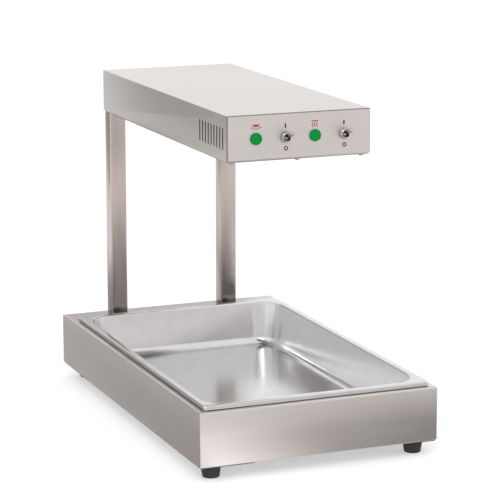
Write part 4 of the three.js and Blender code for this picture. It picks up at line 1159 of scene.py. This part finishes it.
def makeGland(look):
    low, high, middle, _ = boxOf("cable_gland")
    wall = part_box("base_housing")[1].y
    length, inside = high.y - wall - look["seat"], wall - low.y
    bore, nose, mouth, flange = look["bore"], look["nose"], look["mouth"], look["flange"]
    flangeTop, brim, ribEnd = look["flangeThick"], look["flangeEdge"], length * look["ribEnd"]
    bm = bmesh.new()
    turnProfile(bm, [
        (bore, -inside), (look["nut"], -inside), (look["nut"], -look["nutGap"]),
        (look["thread"], -look["nutGap"]), (look["thread"], look["seat"]), (flange, look["seat"]),
        (flange, flangeTop - brim), (flange - brim, flangeTop), (nose, flangeTop), (nose, ribEnd),
        (nose - mouth, length * look["domeEnd"]), (look["tip"], length),
        (bore + mouth, length + look["seat"]), (bore, length - mouth),
    ], 2 * look["ribs"])
    bmesh.ops.recalc_face_normals(bm, faces=bm.faces)
    middles = [(face, face.calc_center_median()) for face in bm.faces]
    grip = [
        (Vector((1, 0)).angle_signed(spot.xy), face) for face, spot in middles
        if flangeTop + brim < spot.z < ribEnd and spot.xy.length > nose * 0.9
    ]
    grip.sort(key=lambda pair: pair[0])
    ribs = bmesh.ops.extrude_discrete_faces(bm, faces=[face for _, face in grip[::2]])["faces"]
    for rib in ribs:
        bmesh.ops.translate(bm, vec=rib.normal * look["rib"], verts=rib.verts)
    faceBack(bm)
    moveAll(bm, (middle.x, wall, middle.z))
    makePiece(bm, "glandBody", "blackPlastic", ["cable_gland"], tidy=False)


makeGland(glandLook)
print("gland made")


# Print on the front panel: I and O at each switch, and a plain pictogram over each light

printLook = {
    "proud": 0.00003, "barHigh": 0.0060, "barWide": 0.0021, "barShift": -0.0005, "barLevel": 0.0442,
    "ringOuter": 0.0030, "ringInner": 0.0015, "ringShift": 0.0004, "ringLevel": 0.0140, "steps": 32,
    "lampLevel": 0.0480, "shadeWide": 0.0052, "shadeDeep": 0.0034, "rays": 6, "rayFrom": -138,
    "rayStep": 19.2, "rayReach": (0.0102, 0.0072), "rayStart": 0.68, "rayWide": 0.0012,
    "heatLevel": 0.0447, "heatShift": -0.0006, "plateHalf": 0.0049, "plateLevel": 0.0036, "plateWide": 0.0013,
    "waveSpread": 0.0032, "waveLevel": -0.0012, "waveWide": 0.0013, "waveHigh": 0.0064, "waveSteps": 12,
    "waveSwing": 0.0006, "wavePitch": 0.0062,
}


def stroke(bm, start, end, wide):
    # a straight bar between two points of the panel
    start, end = Vector(start), Vector(end)
    verts = bmesh.ops.create_grid(bm, x_segments=1, y_segments=1, size=0.5)["verts"]
    bmesh.ops.scale(bm, vec=((end - start).length, wide, 1), verts=verts)
    turn = Matrix.Rotation(-Vector((1, 0)).angle_signed(end - start), 3, "Z")
    bmesh.ops.rotate(bm, cent=(0, 0, 0), matrix=turn, verts=verts)
    bmesh.ops.translate(bm, vec=(*(start + end) / 2, 0), verts=verts)


def switchMarks(bm, look):
    for side in sides:
        x = boxOf("switch_nut_" + side)[2].x
        barX, high = x + look["barShift"], look["barHigh"] / 2
        stroke(bm, (barX, look["barLevel"] - high), (barX, look["barLevel"] + high), look["barWide"])
        place = Matrix.Translation((x + look["ringShift"], look["ringLevel"], 0))
        rings = [addCircle(bm, look[radius], look["steps"], place) for radius in ("ringOuter", "ringInner")]
        bmesh.ops.bridge_loops(bm, edges=edgesOf(rings[0] + rings[1]))


def lampSign(bm, look):
    # a lamp shade, filled, with rays fanning out below it
    x, z = boxOf("indicator_lens_left")[2].x, look["lampLevel"]
    place = Matrix.Translation((x, z, 0)) @ Matrix.Diagonal((look["shadeWide"], look["shadeDeep"], 1, 1))
    addCircle(bm, 1, look["steps"], place, filled=True)
    bmesh.ops.bisect_plane(
        bm, geom=[*bm.verts, *bm.edges, *bm.faces], dist=1e-7, plane_co=(x, z, 0), plane_no=(0, 1, 0),
        clear_outer=True, clear_inner=False,
    )
    reachX, reachZ = look["rayReach"]
    for i in range(look["rays"]):
        angle = radians(look["rayFrom"] + i * look["rayStep"])
        way = Vector((reachX * cos(angle), reachZ * sin(angle)))
        stroke(bm, Vector((x, z)) + way * look["rayStart"], Vector((x, z)) + way, look["rayWide"])


def heatSign(bm, look):
    # a bar over three rising waves
    x, z = boxOf("indicator_lens_right")[2].x + look["heatShift"], look["heatLevel"]
    half, level = look["plateHalf"], z + look["plateLevel"]
    stroke(bm, (x - half, level), (x + half, level), look["plateWide"])
    size = Matrix.Diagonal((look["waveWide"], look["waveHigh"], 1, 1))
    for i in (-1, 0, 1):
        place = Matrix.Translation((x + i * look["waveSpread"], z + look["waveLevel"], 0)) @ size
        verts = bmesh.ops.create_grid(
            bm, x_segments=1, y_segments=look["waveSteps"], size=0.5, matrix=place,
        )["verts"]
        for vert in verts:
            vert.co.x += look["waveSwing"] * sin((vert.co.y - z) / look["wavePitch"] * 2 * pi)


def printPiece(name, ink, drawings, look):
    bm = bmesh.new()
    for draw in drawings:
        draw(bm, look)
    for face in bm.faces:
        if face.normal.z < 0:
            face.normal_flip()
    faceFront(bm)
    moveAll(bm, (0, panelFront - look["proud"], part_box("head_cover")[0].z))
    makePiece(bm, name, ink, tidy=False)


printPiece("switchMarks", "blackInk", [switchMarks], printLook)
printPiece("lightSigns", "redInk", [lampSign, heatSign], printLook)
print("print made")


# Finishes of the CAD nodes that stay as they are

keptNodes = {
    "brushed": ["well_liner"],
    "tray": ["head_tray"],
    "plate": ["base_bottom_plate"],
    "galvanised": ["heat_baffle", "post_mount_plate_left", "post_mount_plate_right"],
    "aluminium": ["heat_spreader", "reflector_end_front", "reflector_end_rear"],
    "silicone": ["heating_mat"],
    "insulation": ["insulation_board"],
    "greyPlastic": ["limiter_thermostat", "terminal_block"],
    "blackPlastic": ["indicator_holder_left", "indicator_holder_right"],
    "ceramic": [f"ceramic_cap_{side}_{end}" for side in sides for end in ends],
}
for finish, names in keptNodes.items():
    for name in names:
        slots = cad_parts[name].data.materials
        slots.clear()
        slots.append(finishes[finish])
print("kept nodes finished")
